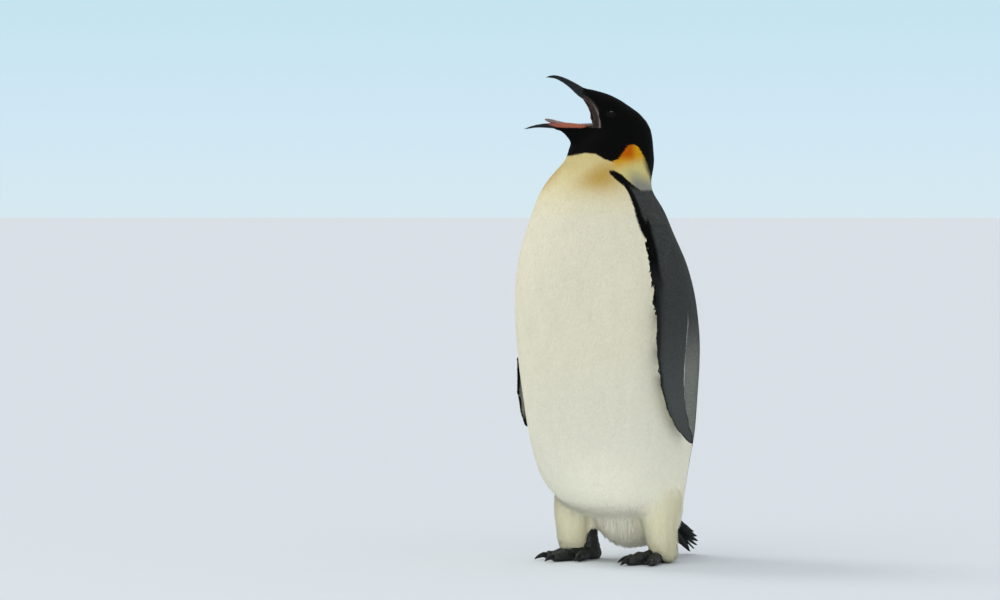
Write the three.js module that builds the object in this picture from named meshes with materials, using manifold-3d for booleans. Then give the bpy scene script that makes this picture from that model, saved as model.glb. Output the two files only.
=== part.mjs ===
// Emperor penguin standing with its head turned to its right and its bill wide open.
// Millimetres, +Z up, the bird faces -Y and its left side is +X. The soles stand on z = 0.
import * as THREE from "three";
import Module from "manifold-3d";

const wasm = await Module();
wasm.setup();

// ---- driving dimensions -------------------------------------------------
const gap = 0.3; // clearance between neighbouring parts
const around = 28; // sides of the trunk's girths
const rowsPerGirth = 2; // rows between two girths
const headTurn = -40; // degrees, the head looks to the bird's right
const neckAxis = new THREE.Vector3(0, 14, 0); // the head turns about this upright
const eyeRadius = 9.5;
const eyeAt = { ahead: 5, side: 40.5, up: 1054 };
const footLength = 124; // ankle to the root of the middle claw
const toeSpread = 27; // degrees between toes
const tailBlades = 9; // stiff feathers in the fan
const tailSpread = 62; // degrees across the fan

// ---- tools --------------------------------------------------------------
const upright = new THREE.Vector3(0, 0, 1);
const radians = THREE.MathUtils.degToRad;

// A point of the head from its own directions, turned with the head.
function onHead(ahead, up, side = 0) {
  const point = new THREE.Vector3(side, -ahead, up);
  return point.applyAxisAngle(upright, radians(headTurn)).add(neckAxis);
}

// A closed body through girths, each with a centre, a turn about the upright, a forward tip,
// half its width and its reach to front and back. Widths are blended as areas, so ends are round.
function loft(girths, sides, rows = rowsPerGirth, grow = 0) {
  const last = girths.length - 1;
  const centres = girths.map((girth) => girth.at);
  const reaches = girths.map(
    (girth) => new THREE.Vector3(girth.side ** 2, girth.front ** 2, girth.back ** 2),
  );
  const angles = girths.map((girth) => new THREE.Vector3(girth.turn ?? 0, girth.tip ?? 0, 0));
  const centreCurve = new THREE.CatmullRomCurve3(centres);
  const reachCurve = new THREE.CatmullRomCurve3(reaches);
  const angleCurve = new THREE.CatmullRomCurve3(angles);
  const geometry = new THREE.SphereGeometry(1, sides, last * rows);
  const position = geometry.attributes.position;
  const uv = geometry.attributes.uv;
  const attitude = new THREE.Euler();
  for (let i = 0; i < position.count; i++) {
    const along = uv.getY(i);
    const bearing = uv.getX(i) * 2 * Math.PI;
    const centre = centreCurve.getPoint(along);
    const reach = reachCurve.getPoint(along);
    const angle = angleCurve.getPoint(along);
    const half = (area) => Math.sqrt(Math.max(area, 0)) + (along > 0 && along < 1 ? grow : 0);
    const across = -Math.cos(bearing) * half(reach.x);
    const ahead = Math.sin(bearing);
    const depth = -ahead * half(ahead > 0 ? reach.y : reach.z);
    attitude.set(radians(angle.y), 0, radians(angle.x), "ZYX");
    const point = new THREE.Vector3(across, depth, 0).applyEuler(attitude).add(centre);
    position.setXYZ(i, point.x, point.y, point.z);
  }
  return solid(geometry);
}

// A three.js geometry as a solid that can be joined and cut.
function solid(geometry) {
  const loose = geometry.index ? geometry.toNonIndexed() : geometry;
  const mesh = new wasm.Mesh({
    numProp: 3,
    vertProperties: new Float32Array(loose.attributes.position.array),
    triVerts: Uint32Array.from({ length: loose.attributes.position.count }, (_, i) => i),
  });
  mesh.merge();
  return new wasm.Manifold(mesh);
}

// The main body of a cut that also left slivers.
function largest(made) {
  const bodies = made.decompose();
  return bodies.reduce((best, body) => (body.volume() > best.volume() ? body : best));
}

function girth(x, y, z, side, front, back, more = {}) {
  return { at: new THREE.Vector3(x, y, z), side, front, back, ...more };
}

function headGirth(ahead, up, side, front, back, tip, more = {}) {
  return { at: onHead(ahead, up), side, front, back, tip, turn: headTurn, ...more };
}

// A big slab whose lower face is the plane through a point, tipped and turned.
function slabAbove(point, tip, turn, shift) {
  const slab = new THREE.BoxGeometry(900, 900, 900);
  slab.translate(0, 0, 450 + shift);
  slab.rotateX(radians(tip));
  slab.rotateZ(radians(turn));
  slab.translate(point.x, point.y, point.z);
  return solid(slab);
}

// ---- trunk, neck and skull as one flowing body --------------------------
const bodyGirths = [
  girth(0, 62, 97, 0, 0, 0, { tip: -9 }),
  girth(0, 50, 117, 111, 148, 168, { tip: -8 }),
  girth(0, 40, 156, 139, 188, 181, { tip: -5 }),
  girth(0, 26, 215, 155, 207, 202),
  girth(0, 20, 300, 172, 227, 225),
  girth(0, 13, 400, 186, 234, 234),
  girth(0, 6, 520, 199, 241, 241),
  girth(0, -4, 620, 195, 241, 238),
  girth(0, -15, 705, 182, 224, 222),
  girth(0, -27, 780, 161, 191, 190),
  girth(0, -31, 836, 139, 169, 174),
  girth(-2, -31, 860, 126, 157, 150, { turn: -4 }),
  girth(-6, -30, 880, 115, 141, 136, { turn: -9 }),
  girth(-6, -10, 915, 95, 124, 126, { turn: -18 }),
  girth(-3, 4, 943, 83, 105, 112, { turn: -28 }),
  headGirth(3, 966, 71, 100, 102, 0, { turn: -36 }),
  headGirth(-2, 992, 61, 99, 94, 5),
  headGirth(-17, 1024, 54, 66, 68, 13),
  headGirth(-5, 1050, 49, 56, 47, 30),
  headGirth(20, 1071, 40, 46, 32, 50),
  headGirth(46, 1090, 27, 29, 22, 62),
  headGirth(64, 1103, 15, 15, 14, 66),
  headGirth(76, 1109, 0, 0, 0, 66),
];
const body = loft(bodyGirths, around);

// The feathered chin under the lower bill.
const chin = loft(
  [
    headGirth(-30, 1000, 0, 0, 0, 90),
    headGirth(0, 998, 46, 34, 26, 90),
    headGirth(45, 1001, 31, 33, 23, 88),
    headGirth(82, 1005, 17, 24, 15, 82),
    headGirth(106, 1013.5, 9, 8, 7, 78),
    headGirth(120, 1018, 0, 0, 0, 78),
  ],
  20,
);

// The feathers behind the belly fold, from between the legs up over the root of the tail.
const rumpGirths = [
  girth(0, -8, 122, 0, 0, 0, { tip: -86 }),
  girth(0, 18, 112, 62, 34, 46, { tip: -88 }),
  girth(0, 62, 98, 76, 34, 60, { tip: -90 }),
  girth(0, 112, 94, 84, 44, 56, { tip: -92 }),
  girth(0, 164, 98, 84, 70, 47, { tip: -92 }),
  girth(0, 208, 104, 55, 80, 36, { tip: -94 }),
  girth(0, 234, 102, 30, 44, 22, { tip: -96 }),
  girth(0, 250, 92, 0, 0, 0, { tip: -96 }),
];

// ---- bill, tongue and mouth ---------------------------------------------
const upperBillGirths = [
  headGirth(40, 1086, 0, 0, 0, 50),
  headGirth(52, 1096, 12, 12, 12, 54),
  headGirth(72, 1108, 11, 12, 12, 58),
  headGirth(94, 1124.5, 8, 8, 8.5, 62),
  headGirth(115, 1137, 5.5, 6, 6, 70),
  headGirth(136, 1144.2, 3.6, 3.6, 3.8, 92),
  headGirth(156, 1141.5, 0, 0, 0, 110),
];
const lowerBillGirths = [
  headGirth(34, 1014, 0, 0, 0, 84),
  headGirth(52, 1019, 14, 9, 8, 84),
  headGirth(80, 1025, 12, 9, 8.5, 84),
  headGirth(112, 1028, 9.5, 9, 8, 88),
  headGirth(145, 1028.5, 6, 6, 6.5, 94),
  headGirth(178, 1026.8, 3.4, 3, 3.6, 102),
  headGirth(208, 1018.8, 0, 0, 0, 110),
];
const troughGirths = [
  headGirth(30, 1036, 0, 0, 0, 88),
  headGirth(60, 1038, 9.5, 13, 12, 88),
  headGirth(100, 1040, 7.6, 10, 12, 90),
  headGirth(135, 1039, 4.2, 6.5, 10, 92),
  headGirth(168, 1037, 0, 0, 0, 92),
];
const tongueGirths = [
  headGirth(14, 1030, 0, 0, 0, 88),
  headGirth(34, 1030, 7, 4.5, 5.5, 88),
  headGirth(72, 1029, 6.4, 3.6, 4.4, 88),
  headGirth(112, 1031.5, 5.2, 3, 3.6, 82),
  headGirth(140, 1039, 3.6, 2.6, 2.8, 72),
  headGirth(156, 1043.5, 0, 0, 0, 76),
];
const mouthGirths = [
  headGirth(-14, 1044, 0, 0, 0, 90),
  headGirth(8, 1047, 13, 14, 16, 90),
  headGirth(34, 1054, 16.5, 24, 27, 90),
  headGirth(60, 1061, 20, 32, 33, 90),
  headGirth(110, 1066, 0, 0, 0, 90),
];

// ---- flippers -----------------------------------------------------------
// Near-flat blades from a narrow tip, swept back, up to a thick shoulder.
const leftFlipperGirths = [
  girth(186, 92, 279, 0, 0, 0),
  girth(190, 78, 295, 4, 18, 15),
  girth(195, 46, 326, 5.5, 27, 26),
  girth(201, 17, 370, 6.5, 35, 34),
  girth(206, 0, 425, 7, 44, 42),
  girth(210, -8, 490, 7.5, 52, 50),
  girth(211, -6, 570, 8.5, 58, 57),
  girth(204, -3, 650, 11, 56, 57),
  girth(186, -6, 730, 17, 50, 50),
  girth(160, -10, 795, 18, 34, 34),
  girth(140, -12, 830, 0, 0, 0),
];
const rightFlipperGirths = [
  girth(-226, -26, 303, 0, 0, 0),
  girth(-231, -24, 320, 4, 17, 15),
  girth(-237, -20, 350, 5.5, 28, 25),
  girth(-240, -16, 395, 6.5, 38, 35),
  girth(-238, -12, 450, 7, 47, 44),
  girth(-229, -8, 515, 7.5, 54, 52),
  girth(-215, -6, 590, 9, 58, 57),
  girth(-201, -4, 665, 12, 55, 55),
  girth(-180, -6, 740, 17, 48, 48),
  girth(-156, -10, 800, 18, 33, 33),
  girth(-138, -12, 832, 0, 0, 0),
];

// ---- legs and feet ------------------------------------------------------
// A toe's reach and the reach of its web are shares of the foot's length and of its own.
// Shaggy shins, hanging lowest on their outer side.
function shin(x, y, grow = 0) {
  const out = Math.sign(x);
  const girths = [
    girth(x + out * 7, y + 24, 6, 0, 0, 0, { tip: 16 }),
    girth(x + out * 6, y + 16, 20, 26, 24, 24, { tip: 14 }),
    girth(x + out * 3, y + 6, 44, 35, 38, 34, { tip: 10 }),
    girth(x, y, 80, 38, 41, 42, { tip: 4 }),
    girth(x - out * 2, y, 120, 44, 48, 54),
    girth(x - out * 8, y + 6, 170, 46, 56, 70),
    girth(x - out * 20, y + 8, 220, 0, 0, 0),
  ];
  return loft(girths, 14, 2, grow);
}

// A row of girths from the ankle outwards: how far out, how high, half-width, half-height and tip.
function ray(rows, bearing, ankle) {
  return rows.map(([out, up, side, tall, tip]) => ({
    at: new THREE.Vector3(0, -out, up).applyAxisAngle(upright, radians(bearing)).add(ankle),
    side,
    front: tall,
    back: tall,
    tip,
    turn: bearing,
  }));
}

const toes = [
  { name: "inner", reach: 0.67, spread: 1, webbed: 0.82, width: 13.5, height: 13.5 },
  { name: "middle", reach: 1, spread: 0, webbed: 0.72, width: 14.5, height: 14.5 },
  { name: "outer", reach: 0.89, spread: -1, webbed: 0.82, width: 13.5, height: 13.5 },
];

function toe(reach, width, height, bearing, ankle) {
  const low = (tall) => height * tall - 1.5;
  const rows = [
    [-14, low(1), 0, 0, 90],
    [-4, low(1.2), width * 0.8, height * 1.2, 90],
    [reach * 0.3, low(1.18), width * 0.88, height * 1.18, 90],
    [reach * 0.52, low(0.96), width * 0.82, height * 0.96, 90],
    [reach * 0.68, low(1.04), width, height * 1.04, 90],
    [reach * 0.82, low(0.8), width * 0.82, height * 0.8, 90],
    [reach * 0.94, low(0.84), width * 0.9, height * 0.84, 90],
    [reach + 7, low(0.7), 0, 0, 90],
  ];
  return loft(ray(rows, bearing, ankle), 8, 1);
}

function claw(reach, bearing, ankle, grow = 0) {
  const rows = [
    [reach - 7, 12, 0, 0, 80],
    [reach - 3, 12.6, 5, 5.6, 84],
    [reach + 4, 12.6, 6, 7, 92],
    [reach + 13, 10.6, 4.8, 5.4, 106],
    [reach + 22, 6.4, 2.8, 3.2, 118],
    [reach + 29, 2, 0, 0, 125],
  ];
  return loft(ray(rows, bearing, ankle), 8, 1, grow);
}

// A web between two toes, with a hollow front edge.
function web(from, fromReach, to, toReach, ankle) {
  const tip = (bearing, reach) =>
    new THREE.Vector2(Math.sin(radians(bearing)) * reach, -Math.cos(radians(bearing)) * reach);
  const a = tip(from, fromReach);
  const b = tip(to, toReach);
  const hollow = a.clone().add(b).multiplyScalar(0.42);
  const outline = new THREE.Shape();
  outline.moveTo(0, 0);
  outline.lineTo(a.x, a.y);
  outline.quadraticCurveTo(hollow.x, hollow.y, b.x, b.y);
  outline.closePath();
  const sheet = new THREE.ExtrudeGeometry(outline, { depth: 6, bevelEnabled: false, curveSegments: 2 });
  return solid(sheet.translate(ankle.x, ankle.y, 1));
}

function foot(ankle, side, outward, cover) {
  const bearings = toes.map((one) => side * (outward - one.spread * toeSpread));
  const reaches = toes.map((one) => one.reach * footLength);
  const tarsus = [
    girth(ankle.x, ankle.y + 4, -8, 0, 0, 0),
    girth(ankle.x, ankle.y + 3, 3, 24, 27, 24),
    girth(ankle.x, ankle.y + 2, 14, 27, 30, 27),
    girth(ankle.x, ankle.y, 30, 24, 29, 25),
    girth(ankle.x, ankle.y - 1, 50, 20, 22, 21),
    girth(ankle.x, ankle.y - 4, 84, 19, 21, 21),
    girth(ankle.x, ankle.y - 8, 108, 14, 15, 15),
    girth(ankle.x, ankle.y - 10, 118, 0, 0, 0),
  ];
  let made = loft(tarsus, 10, 1);
  toes.forEach((one, i) => {
    made = made.add(toe(reaches[i], one.width, one.height, bearings[i], ankle));
  });
  for (const [i, j] of [[0, 1], [1, 2]]) {
    const inner = reaches[i] * toes[i].webbed;
    const outer = reaches[j] * toes[j].webbed;
    const sheet = side > 0
      ? web(bearings[i], inner, bearings[j], outer, ankle)
      : web(bearings[j], outer, bearings[i], inner, ankle);
    made = made.add(sheet);
  }
  const floor = new THREE.BoxGeometry(400, 400, 60).translate(ankle.x, ankle.y - 60, -30);
  made = made.subtract(solid(floor)).subtract(cover);
  const claws = toes.map((one, i) => claw(reaches[i], bearings[i], ankle));
  toes.forEach((one, i) => {
    made = made.subtract(claw(reaches[i], bearings[i], ankle, gap));
  });
  return { made: largest(made), claws };
}

// ---- tail ---------------------------------------------------------------
// One stiff tail feather, fanned out from the root and drooping backwards.
function tailBlade(share) {
  const bearing = share * tailSpread;
  const reach = 142 - 268 * share * share;
  const droop = 40 - 46 * Math.abs(share);
  const rows = [
    [4, 0, 0],
    [26, 11, 5],
    [reach * 0.62, 11.5, 3],
    [reach * 0.86, 8, 2],
    [reach, 0, 0],
  ];
  const root = new THREE.Vector3(0, 196, 96 - 6 * Math.abs(share));
  const girths = rows.map(([out, side, thick]) => ({
    at: new THREE.Vector3(0, out * Math.cos(radians(droop)), -out * Math.sin(radians(droop)))
      .applyAxisAngle(upright, radians(bearing))
      .add(root),
    side,
    front: thick,
    back: thick,
    tip: -90 - droop,
    turn: bearing,
  }));
  return loft(girths, 6, 1);
}

// ---- assembly -----------------------------------------------------------
const whole = body.add(chin).add(loft(rumpGirths, 18));
const bodyRoom = loft(bodyGirths, around, rowsPerGirth, gap).add(loft(rumpGirths, 18, rowsPerGirth, gap));

const headCut = { at: onHead(0, 969), tip: -8, turn: headTurn };
const neckCut = { at: onHead(-20, 900), tip: -18, turn: -24 };
const above = (cut, shift) => slabAbove(cut.at, cut.tip, cut.turn, shift);

const eyes = [-1, 1].map((side) => onHead(eyeAt.ahead, eyeAt.up, side * eyeAt.side));
const ball = (at, radius) => solid(new THREE.SphereGeometry(radius, 12, 8).translate(at.x, at.y, at.z));
const tongueRoom = loft(tongueGirths, 10, 2, gap);
const mouth = loft(mouthGirths, 12);

const headHollows = [
  mouth,
  loft(upperBillGirths, 12, 2, gap),
  loft(lowerBillGirths, 12, 2, gap + 1.3),
  tongueRoom,
  ...eyes.map((at) => ball(at, eyeRadius + gap)),
];
const skull = whole.intersect(above(headCut, gap / 2));
const head = headHollows.reduce((rest, hollow) => rest.subtract(hollow), skull);
const neck = whole.intersect(above(neckCut, gap / 2)).subtract(above(headCut, -gap / 2));
const trunk = whole.subtract(above(neckCut, -gap / 2));

const trough = loft(troughGirths, 10, 2);
const upperBill = loft(upperBillGirths, 12);
const lowerBill = loft(lowerBillGirths, 12).subtract(trough).subtract(tongueRoom);
const tongue = loft(tongueGirths, 10, 2);

// Horny side plate of the lower bill: a leaf-shaped slip of a slightly thicker bill.
function billPlate(side) {
  const leaf = new THREE.Shape();
  leaf.moveTo(-154, 1033);
  leaf.bezierCurveTo(-130, 1040, -80, 1040, -50, 1029);
  leaf.bezierCurveTo(-80, 1016, -122, 1018, -154, 1033);
  const prism = new THREE.ExtrudeGeometry(leaf, { depth: 40, bevelEnabled: false, curveSegments: 8 });
  prism.rotateX(Math.PI / 2);
  prism.rotateZ(Math.PI / 2);
  prism.translate(side > 0 ? 4 : -44, 0, 0);
  prism.rotateZ(radians(headTurn));
  prism.translate(neckAxis.x, neckAxis.y, 0);
  const shell = loft(lowerBillGirths, 12, 2, gap + 1).subtract(loft(lowerBillGirths, 12, 2, gap));
  return largest(shell.intersect(solid(prism)).subtract(trough).subtract(tongueRoom));
}

const rightShin = [-107, -4];
const leftShin = [112, 62];
const leg = (place) => largest(shin(...place).subtract(bodyRoom));
const cover = (place) => shin(...place, gap).add(bodyRoom);
const rightFoot = foot(new THREE.Vector3(-88, 36, 0), -1, 2, cover(rightShin));
const leftFoot = foot(new THREE.Vector3(96, 80, 0), 1, 4, cover(leftShin));

const shares = Array.from({ length: tailBlades }, (_, i) => i / (tailBlades - 1) - 0.5);
const fan = shares.map(tailBlade).reduce((joined, blade) => joined.add(blade));
const tail = fan.subtract(bodyRoom);

// ---- the named parts ----------------------------------------------------
const bird = new THREE.Group();
function part(name, made, color, roughness, metalness = 0) {
  const mesh = made.getMesh();
  const geometry = new THREE.BufferGeometry();
  geometry.setAttribute("position", new THREE.BufferAttribute(mesh.vertProperties, 3));
  geometry.setIndex(new THREE.BufferAttribute(mesh.triVerts, 1));
  const piece = new THREE.Mesh(geometry, new THREE.MeshStandardMaterial({ color, roughness, metalness }));
  piece.name = name;
  bird.add(piece);
}

part("trunk", trunk, 0xe9e4d2, 0.85);
part("neck", neck, 0xe7d49a, 0.85);
part("head", head, 0x0e1013, 0.7);
part("upper_bill", upperBill, 0x23272c, 0.4);
part("lower_bill", lowerBill, 0x23272c, 0.4);
part("bill_plate_right", billPlate(-1), 0xc9694a, 0.4);
part("bill_plate_left", billPlate(1), 0xc9694a, 0.4);
part("tongue", tongue, 0xb08a86, 0.5);
part("eye_right", ball(eyes[0], eyeRadius), 0x2a1c14, 0.1);
part("eye_left", ball(eyes[1], eyeRadius), 0x2a1c14, 0.1);
part("flipper_left", loft(leftFlipperGirths, 14, 1).subtract(bodyRoom), 0x3a4046, 0.75);
part("flipper_right", loft(rightFlipperGirths, 14, 1).subtract(bodyRoom), 0x3a4046, 0.75);
part("leg_right", leg(rightShin), 0xe6dfc0, 0.9);
part("leg_left", leg(leftShin), 0xe6dfc0, 0.9);
part("foot_right", rightFoot.made, 0x202122, 0.7);
part("foot_left", leftFoot.made, 0x202122, 0.7);
toes.forEach((one, i) => {
  part("claw_right_" + one.name, rightFoot.claws[i], 0x141516, 0.45);
  part("claw_left_" + one.name, leftFoot.claws[i], 0x141516, 0.45);
});
part("tail", tail, 0x1b1d20, 0.7);

// The origin goes to the middle of the box's bottom.
const box = new THREE.Box3().setFromObject(bird);
bird.position.set(-(box.min.x + box.max.x) / 2, -(box.min.y + box.max.y) / 2, -box.min.z);

export default bird;
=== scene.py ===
# Emperor penguin calling, a life-size still figure: skin, coat of small feathers, bill, eyes, feet and tail
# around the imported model. Metres, +Z up, the bird faces -Y and its left side is +X.
import math

import bpy
import numpy as np
from mathutils import Matrix, Vector
from mathutils.bvhtree import BVHTree
from mathutils.kdtree import KDTree


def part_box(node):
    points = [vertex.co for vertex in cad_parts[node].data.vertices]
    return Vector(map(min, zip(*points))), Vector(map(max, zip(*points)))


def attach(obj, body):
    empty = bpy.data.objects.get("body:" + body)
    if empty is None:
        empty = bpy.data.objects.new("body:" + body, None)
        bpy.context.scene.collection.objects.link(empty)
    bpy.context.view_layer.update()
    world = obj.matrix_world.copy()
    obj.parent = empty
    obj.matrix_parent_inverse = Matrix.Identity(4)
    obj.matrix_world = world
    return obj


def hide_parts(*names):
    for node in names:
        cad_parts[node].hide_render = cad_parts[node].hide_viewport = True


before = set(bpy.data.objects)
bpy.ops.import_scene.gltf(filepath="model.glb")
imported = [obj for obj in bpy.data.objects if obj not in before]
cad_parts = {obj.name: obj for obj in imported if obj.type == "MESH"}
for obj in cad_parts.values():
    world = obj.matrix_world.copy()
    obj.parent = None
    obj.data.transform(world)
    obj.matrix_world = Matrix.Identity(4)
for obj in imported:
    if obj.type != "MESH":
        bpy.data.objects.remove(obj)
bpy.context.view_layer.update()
up = Vector((0, 0, 1))


def middle(node):
    low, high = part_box(node)
    return (low + high) / 2


# the head's own directions come from the two eyes, the bird's axis from the trunk
eyeLeft = middle("eye_left")
eyeRight = middle("eye_right")
eyeMiddle = (eyeLeft + eyeRight) / 2
headSide = (eyeLeft - eyeRight).normalized()
headAhead = headSide.cross(up)
sideAxis = np.array(headSide)
aheadAxis = np.array(headAhead)
trunkLow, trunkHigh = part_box("trunk")
birdAxis = Vector(((trunkLow.x + trunkHigh.x) / 2, (trunkLow.y + trunkHigh.y) / 2 - 0.0025, 0))


def tint(code):
    # a colour as painters name it, six hex digits, turned to linear light
    values = [int(code[i:i + 2], 16) / 255 for i in (0, 2, 4)]
    return np.array([v / 12.92 if v <= 0.04045 else ((v + 0.055) / 1.055) ** 2.4 for v in values])


def solid(code):
    return (*tint(code), 1)


def ramp(value, low, high):
    # 0 below low, 1 above high, smooth between; low may be above high
    share = np.clip((value - low) / (high - low), 0, 1)
    return share * share * (3 - 2 * share)


def blend(a, b, share):
    return a + (b - a) * share[:, None]


def nearBand(distance, width):
    return np.exp(-((distance / width) ** 2))


def unit(vectors):
    return vectors / np.maximum(np.linalg.norm(vectors, axis=1), 1e-9)[:, None]


def filled(count, colour):
    return np.tile(colour, (count, 1))


def shareOf(values):
    # 0 at the least of the values, 1 at the greatest
    return (values - values.min()) / (values.max() - values.min())


def fromTable(table, values, column=1):
    return np.interp(values, table[:, 0], table[:, column])


def slabTable(along, across, step):
    # middles and half-widths of a form at each level along it
    levels = np.floor(along / step).astype(int)
    rows = []
    for level in range(levels.min(), levels.max() + 1):
        slab = across[levels == level]
        if len(slab) > 3:
            low = slab.min(0)
            high = slab.max(0)
            rows.append([(level + 0.5) * step, *((low + high) / 2), *((high - low) / 2)])
    return np.array(rows)


def thinOut(points, spacing, order):
    # in the given order, keeps each point that is no closer than the spacing to one kept before
    tree = KDTree(len(points))
    for index in order:
        tree.insert(points[index], index)
    tree.balance()
    free = np.ones(len(points), bool)
    kept = []
    for index in order:
        if free[index]:
            kept.append(index)
            for _, other, _ in tree.find_range(points[index], spacing[index]):
                free[other] = False
    return kept


def readRows(items, key, width, kind=np.float32):
    found = np.empty(len(items) * width, kind)
    items.foreach_get(key, found)
    return found.reshape(-1, width)


def meshPoints(mesh):
    return readRows(mesh.vertices, "co", 3).astype(float)


def meshNormals(mesh):
    return readRows(mesh.vertex_normals, "vector", 3).astype(float)


def setPoints(mesh, points):
    mesh.vertices.foreach_set("co", points.astype(np.float32).ravel())
    mesh.update()


def meshEdges(mesh):
    return readRows(mesh.edges, "vertices", 2, np.int32)


def addAttribute(mesh, name, kind, key, values):
    layer = mesh.attributes.new(name, kind, "POINT")
    layer.data.foreach_set(key, values.astype(np.float32).ravel())


def paint(mesh, colours):
    full = np.column_stack([colours, np.ones(len(colours))])
    addAttribute(mesh, "markings", "FLOAT_COLOR", "color", full)


def deselectAll():
    if bpy.context.object and bpy.context.object.mode != "OBJECT":
        bpy.ops.object.mode_set(mode="OBJECT")
    bpy.ops.object.select_all(action="DESELECT")


def makeActive(piece):
    deselectAll()
    piece.select_set(True)
    bpy.context.view_layer.objects.active = piece


def onWholeMesh(operator, **values):
    # runs an edit mode operator on all of the active piece
    bpy.ops.object.mode_set(mode="EDIT")
    bpy.ops.mesh.select_all(action="SELECT")
    operator(**values)
    bpy.ops.object.mode_set(mode="OBJECT")


def newPrimitive(operator, **values):
    # adds a primitive, with its place in its mesh
    deselectAll()
    operator(**values)
    bpy.ops.object.transform_apply(location=True, rotation=True, scale=True)
    return bpy.context.object


def applyModifier(piece, kind, **values):
    makeActive(piece)
    modifier = piece.modifiers.new(kind.title(), kind)
    for key, value in values.items():
        setattr(modifier, key, value)
    bpy.ops.object.modifier_apply(modifier=modifier.name)


def joinPieces(name, pieces):
    deselectAll()
    for piece in pieces:
        piece.select_set(True)
    bpy.context.view_layer.objects.active = pieces[0]
    if len(pieces) > 1:
        bpy.ops.object.join()
    piece = bpy.context.object
    piece.name = name
    piece.data.name = name
    return piece


def copyNodes(name, nodes):
    # one loose piece from copies of CAD nodes, with their shared vertices merged
    copies = []
    for node in nodes:
        copy = bpy.data.objects.new(name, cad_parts[node].data.copy())
        bpy.context.scene.collection.objects.link(copy)
        copy.data.materials.clear()
        copies.append(copy)
    piece = joinPieces(name, copies)
    onWholeMesh(bpy.ops.mesh.remove_doubles, threshold=0.00002)
    piece.data.shade_smooth()
    return piece


def relax(points, edges, weight, rounds, keepSize=False):
    # each point drifts to the mean of its neighbours; keepSize swells it back between rounds
    count = np.maximum(np.bincount(edges.ravel(), minlength=len(points)), 1)[:, None]
    for step in range(rounds):
        total = np.zeros_like(points)
        for axis in range(3):
            total[:, axis] = np.bincount(edges[:, 0], points[edges[:, 1], axis], len(points))
            total[:, axis] += np.bincount(edges[:, 1], points[edges[:, 0], axis], len(points))
        factor = -0.53 if keepSize and step % 2 else 0.5
        points = points + (total / count - points) * (factor * weight)[:, None]
    return points


def startMaterial(name, roughness=0.5, specular=0.5, coat=0):
    material = bpy.data.materials.new(name)
    material.use_nodes = True
    shader = material.node_tree.nodes["Principled BSDF"]
    shader.inputs["Roughness"].default_value = roughness
    shader.inputs["Specular IOR Level"].default_value = specular
    shader.inputs["Coat Weight"].default_value = coat
    shader.inputs["Coat Roughness"].default_value = 0.06
    return material, material.node_tree, shader


def finishPiece(piece, material, nodes=()):
    piece.data.materials.clear()
    piece.data.materials.append(material)
    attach(piece, "root")
    if nodes:
        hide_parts(*nodes)


# camera, light and floor
studio = {
    "distance": 9.0,  # from the bird's axis
    "bearing": 42,  # degrees round to the bird's left
    "height": 0.8137,
    "lens": 137.5,
    "lookDown": 1.245,  # degrees
    "lookAside": 1.605,
    "floor": "e5ecf3",
    # colours of the sky and how high they stand: the low sky is blue, the light from above is pale
    "sky": ((0, "d6e9f1"), (0.025, "d0e7f4"), (0.057, "c4e4f0"), (0.14, "dfe0e1")),
    "floorSize": 6000,
    "worldStrength": 1.0,
    "sunPower": 0.58,
    "sunSpread": 24,  # degrees
    "sunColour": (1, 0.96, 0.89),
    "keyPower": 7,
    "keySize": 2.4,
    "keyColour": (1, 0.96, 0.88),
    "groundPower": 0.066,
    "groundSpread": 14,  # degrees
    "groundColour": (1, 1, 0.96),
}


def setStops(bands, stops):
    # the colours of a colour ramp, from (place, colour) pairs
    elements = bands.color_ramp.elements
    while len(elements) < len(stops):
        elements.new(0.5)
    for element, (place, colour) in zip(elements, stops):
        element.position = place
        element.color = solid(colour)


def turned(degrees):
    # level direction, from the bird's front round to its left
    angle = math.radians(degrees)
    return Vector((math.sin(angle), -math.cos(angle), 0))


def makeCamera(values):
    away = turned(values["bearing"])
    bpy.ops.object.camera_add(location=birdAxis + away * values["distance"] + up * values["height"])
    camera = bpy.context.object
    camera.data.lens = values["lens"]
    camera.data.sensor_width = 36
    camera.data.clip_end = 8000
    look = Matrix.Rotation(math.radians(values["lookAside"]), 3, "Z") @ (-away)
    look.z = -math.tan(math.radians(values["lookDown"]))
    camera.rotation_euler = look.to_track_quat("-Z", "Y").to_euler()
    bpy.context.scene.camera = camera


def addLight(name, place, aim, size, power, colour):
    bpy.ops.object.light_add(type="AREA", location=place)
    light = bpy.context.object
    light.name = name
    light.data.shape = "DISK"
    light.data.size = size
    light.data.energy = power
    light.data.color = colour
    light.rotation_euler = (aim - light.location).to_track_quat("-Z", "Y").to_euler()


def makeSky(values):
    # a colour for each height
    world = bpy.data.worlds.new("studio")
    bpy.context.scene.world = world
    world.use_nodes = True
    nodes = world.node_tree.nodes
    links = world.node_tree.links
    place = nodes.new("ShaderNodeTexCoord")
    split = nodes.new("ShaderNodeSeparateXYZ")
    links.new(place.outputs["Generated"], split.inputs["Vector"])
    bands = nodes.new("ShaderNodeValToRGB")
    setStops(bands, values["sky"])
    links.new(split.outputs["Z"], bands.inputs["Fac"])
    links.new(bands.outputs["Color"], nodes["Background"].inputs["Color"])
    nodes["Background"].inputs["Strength"].default_value = values["worldStrength"]


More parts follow.
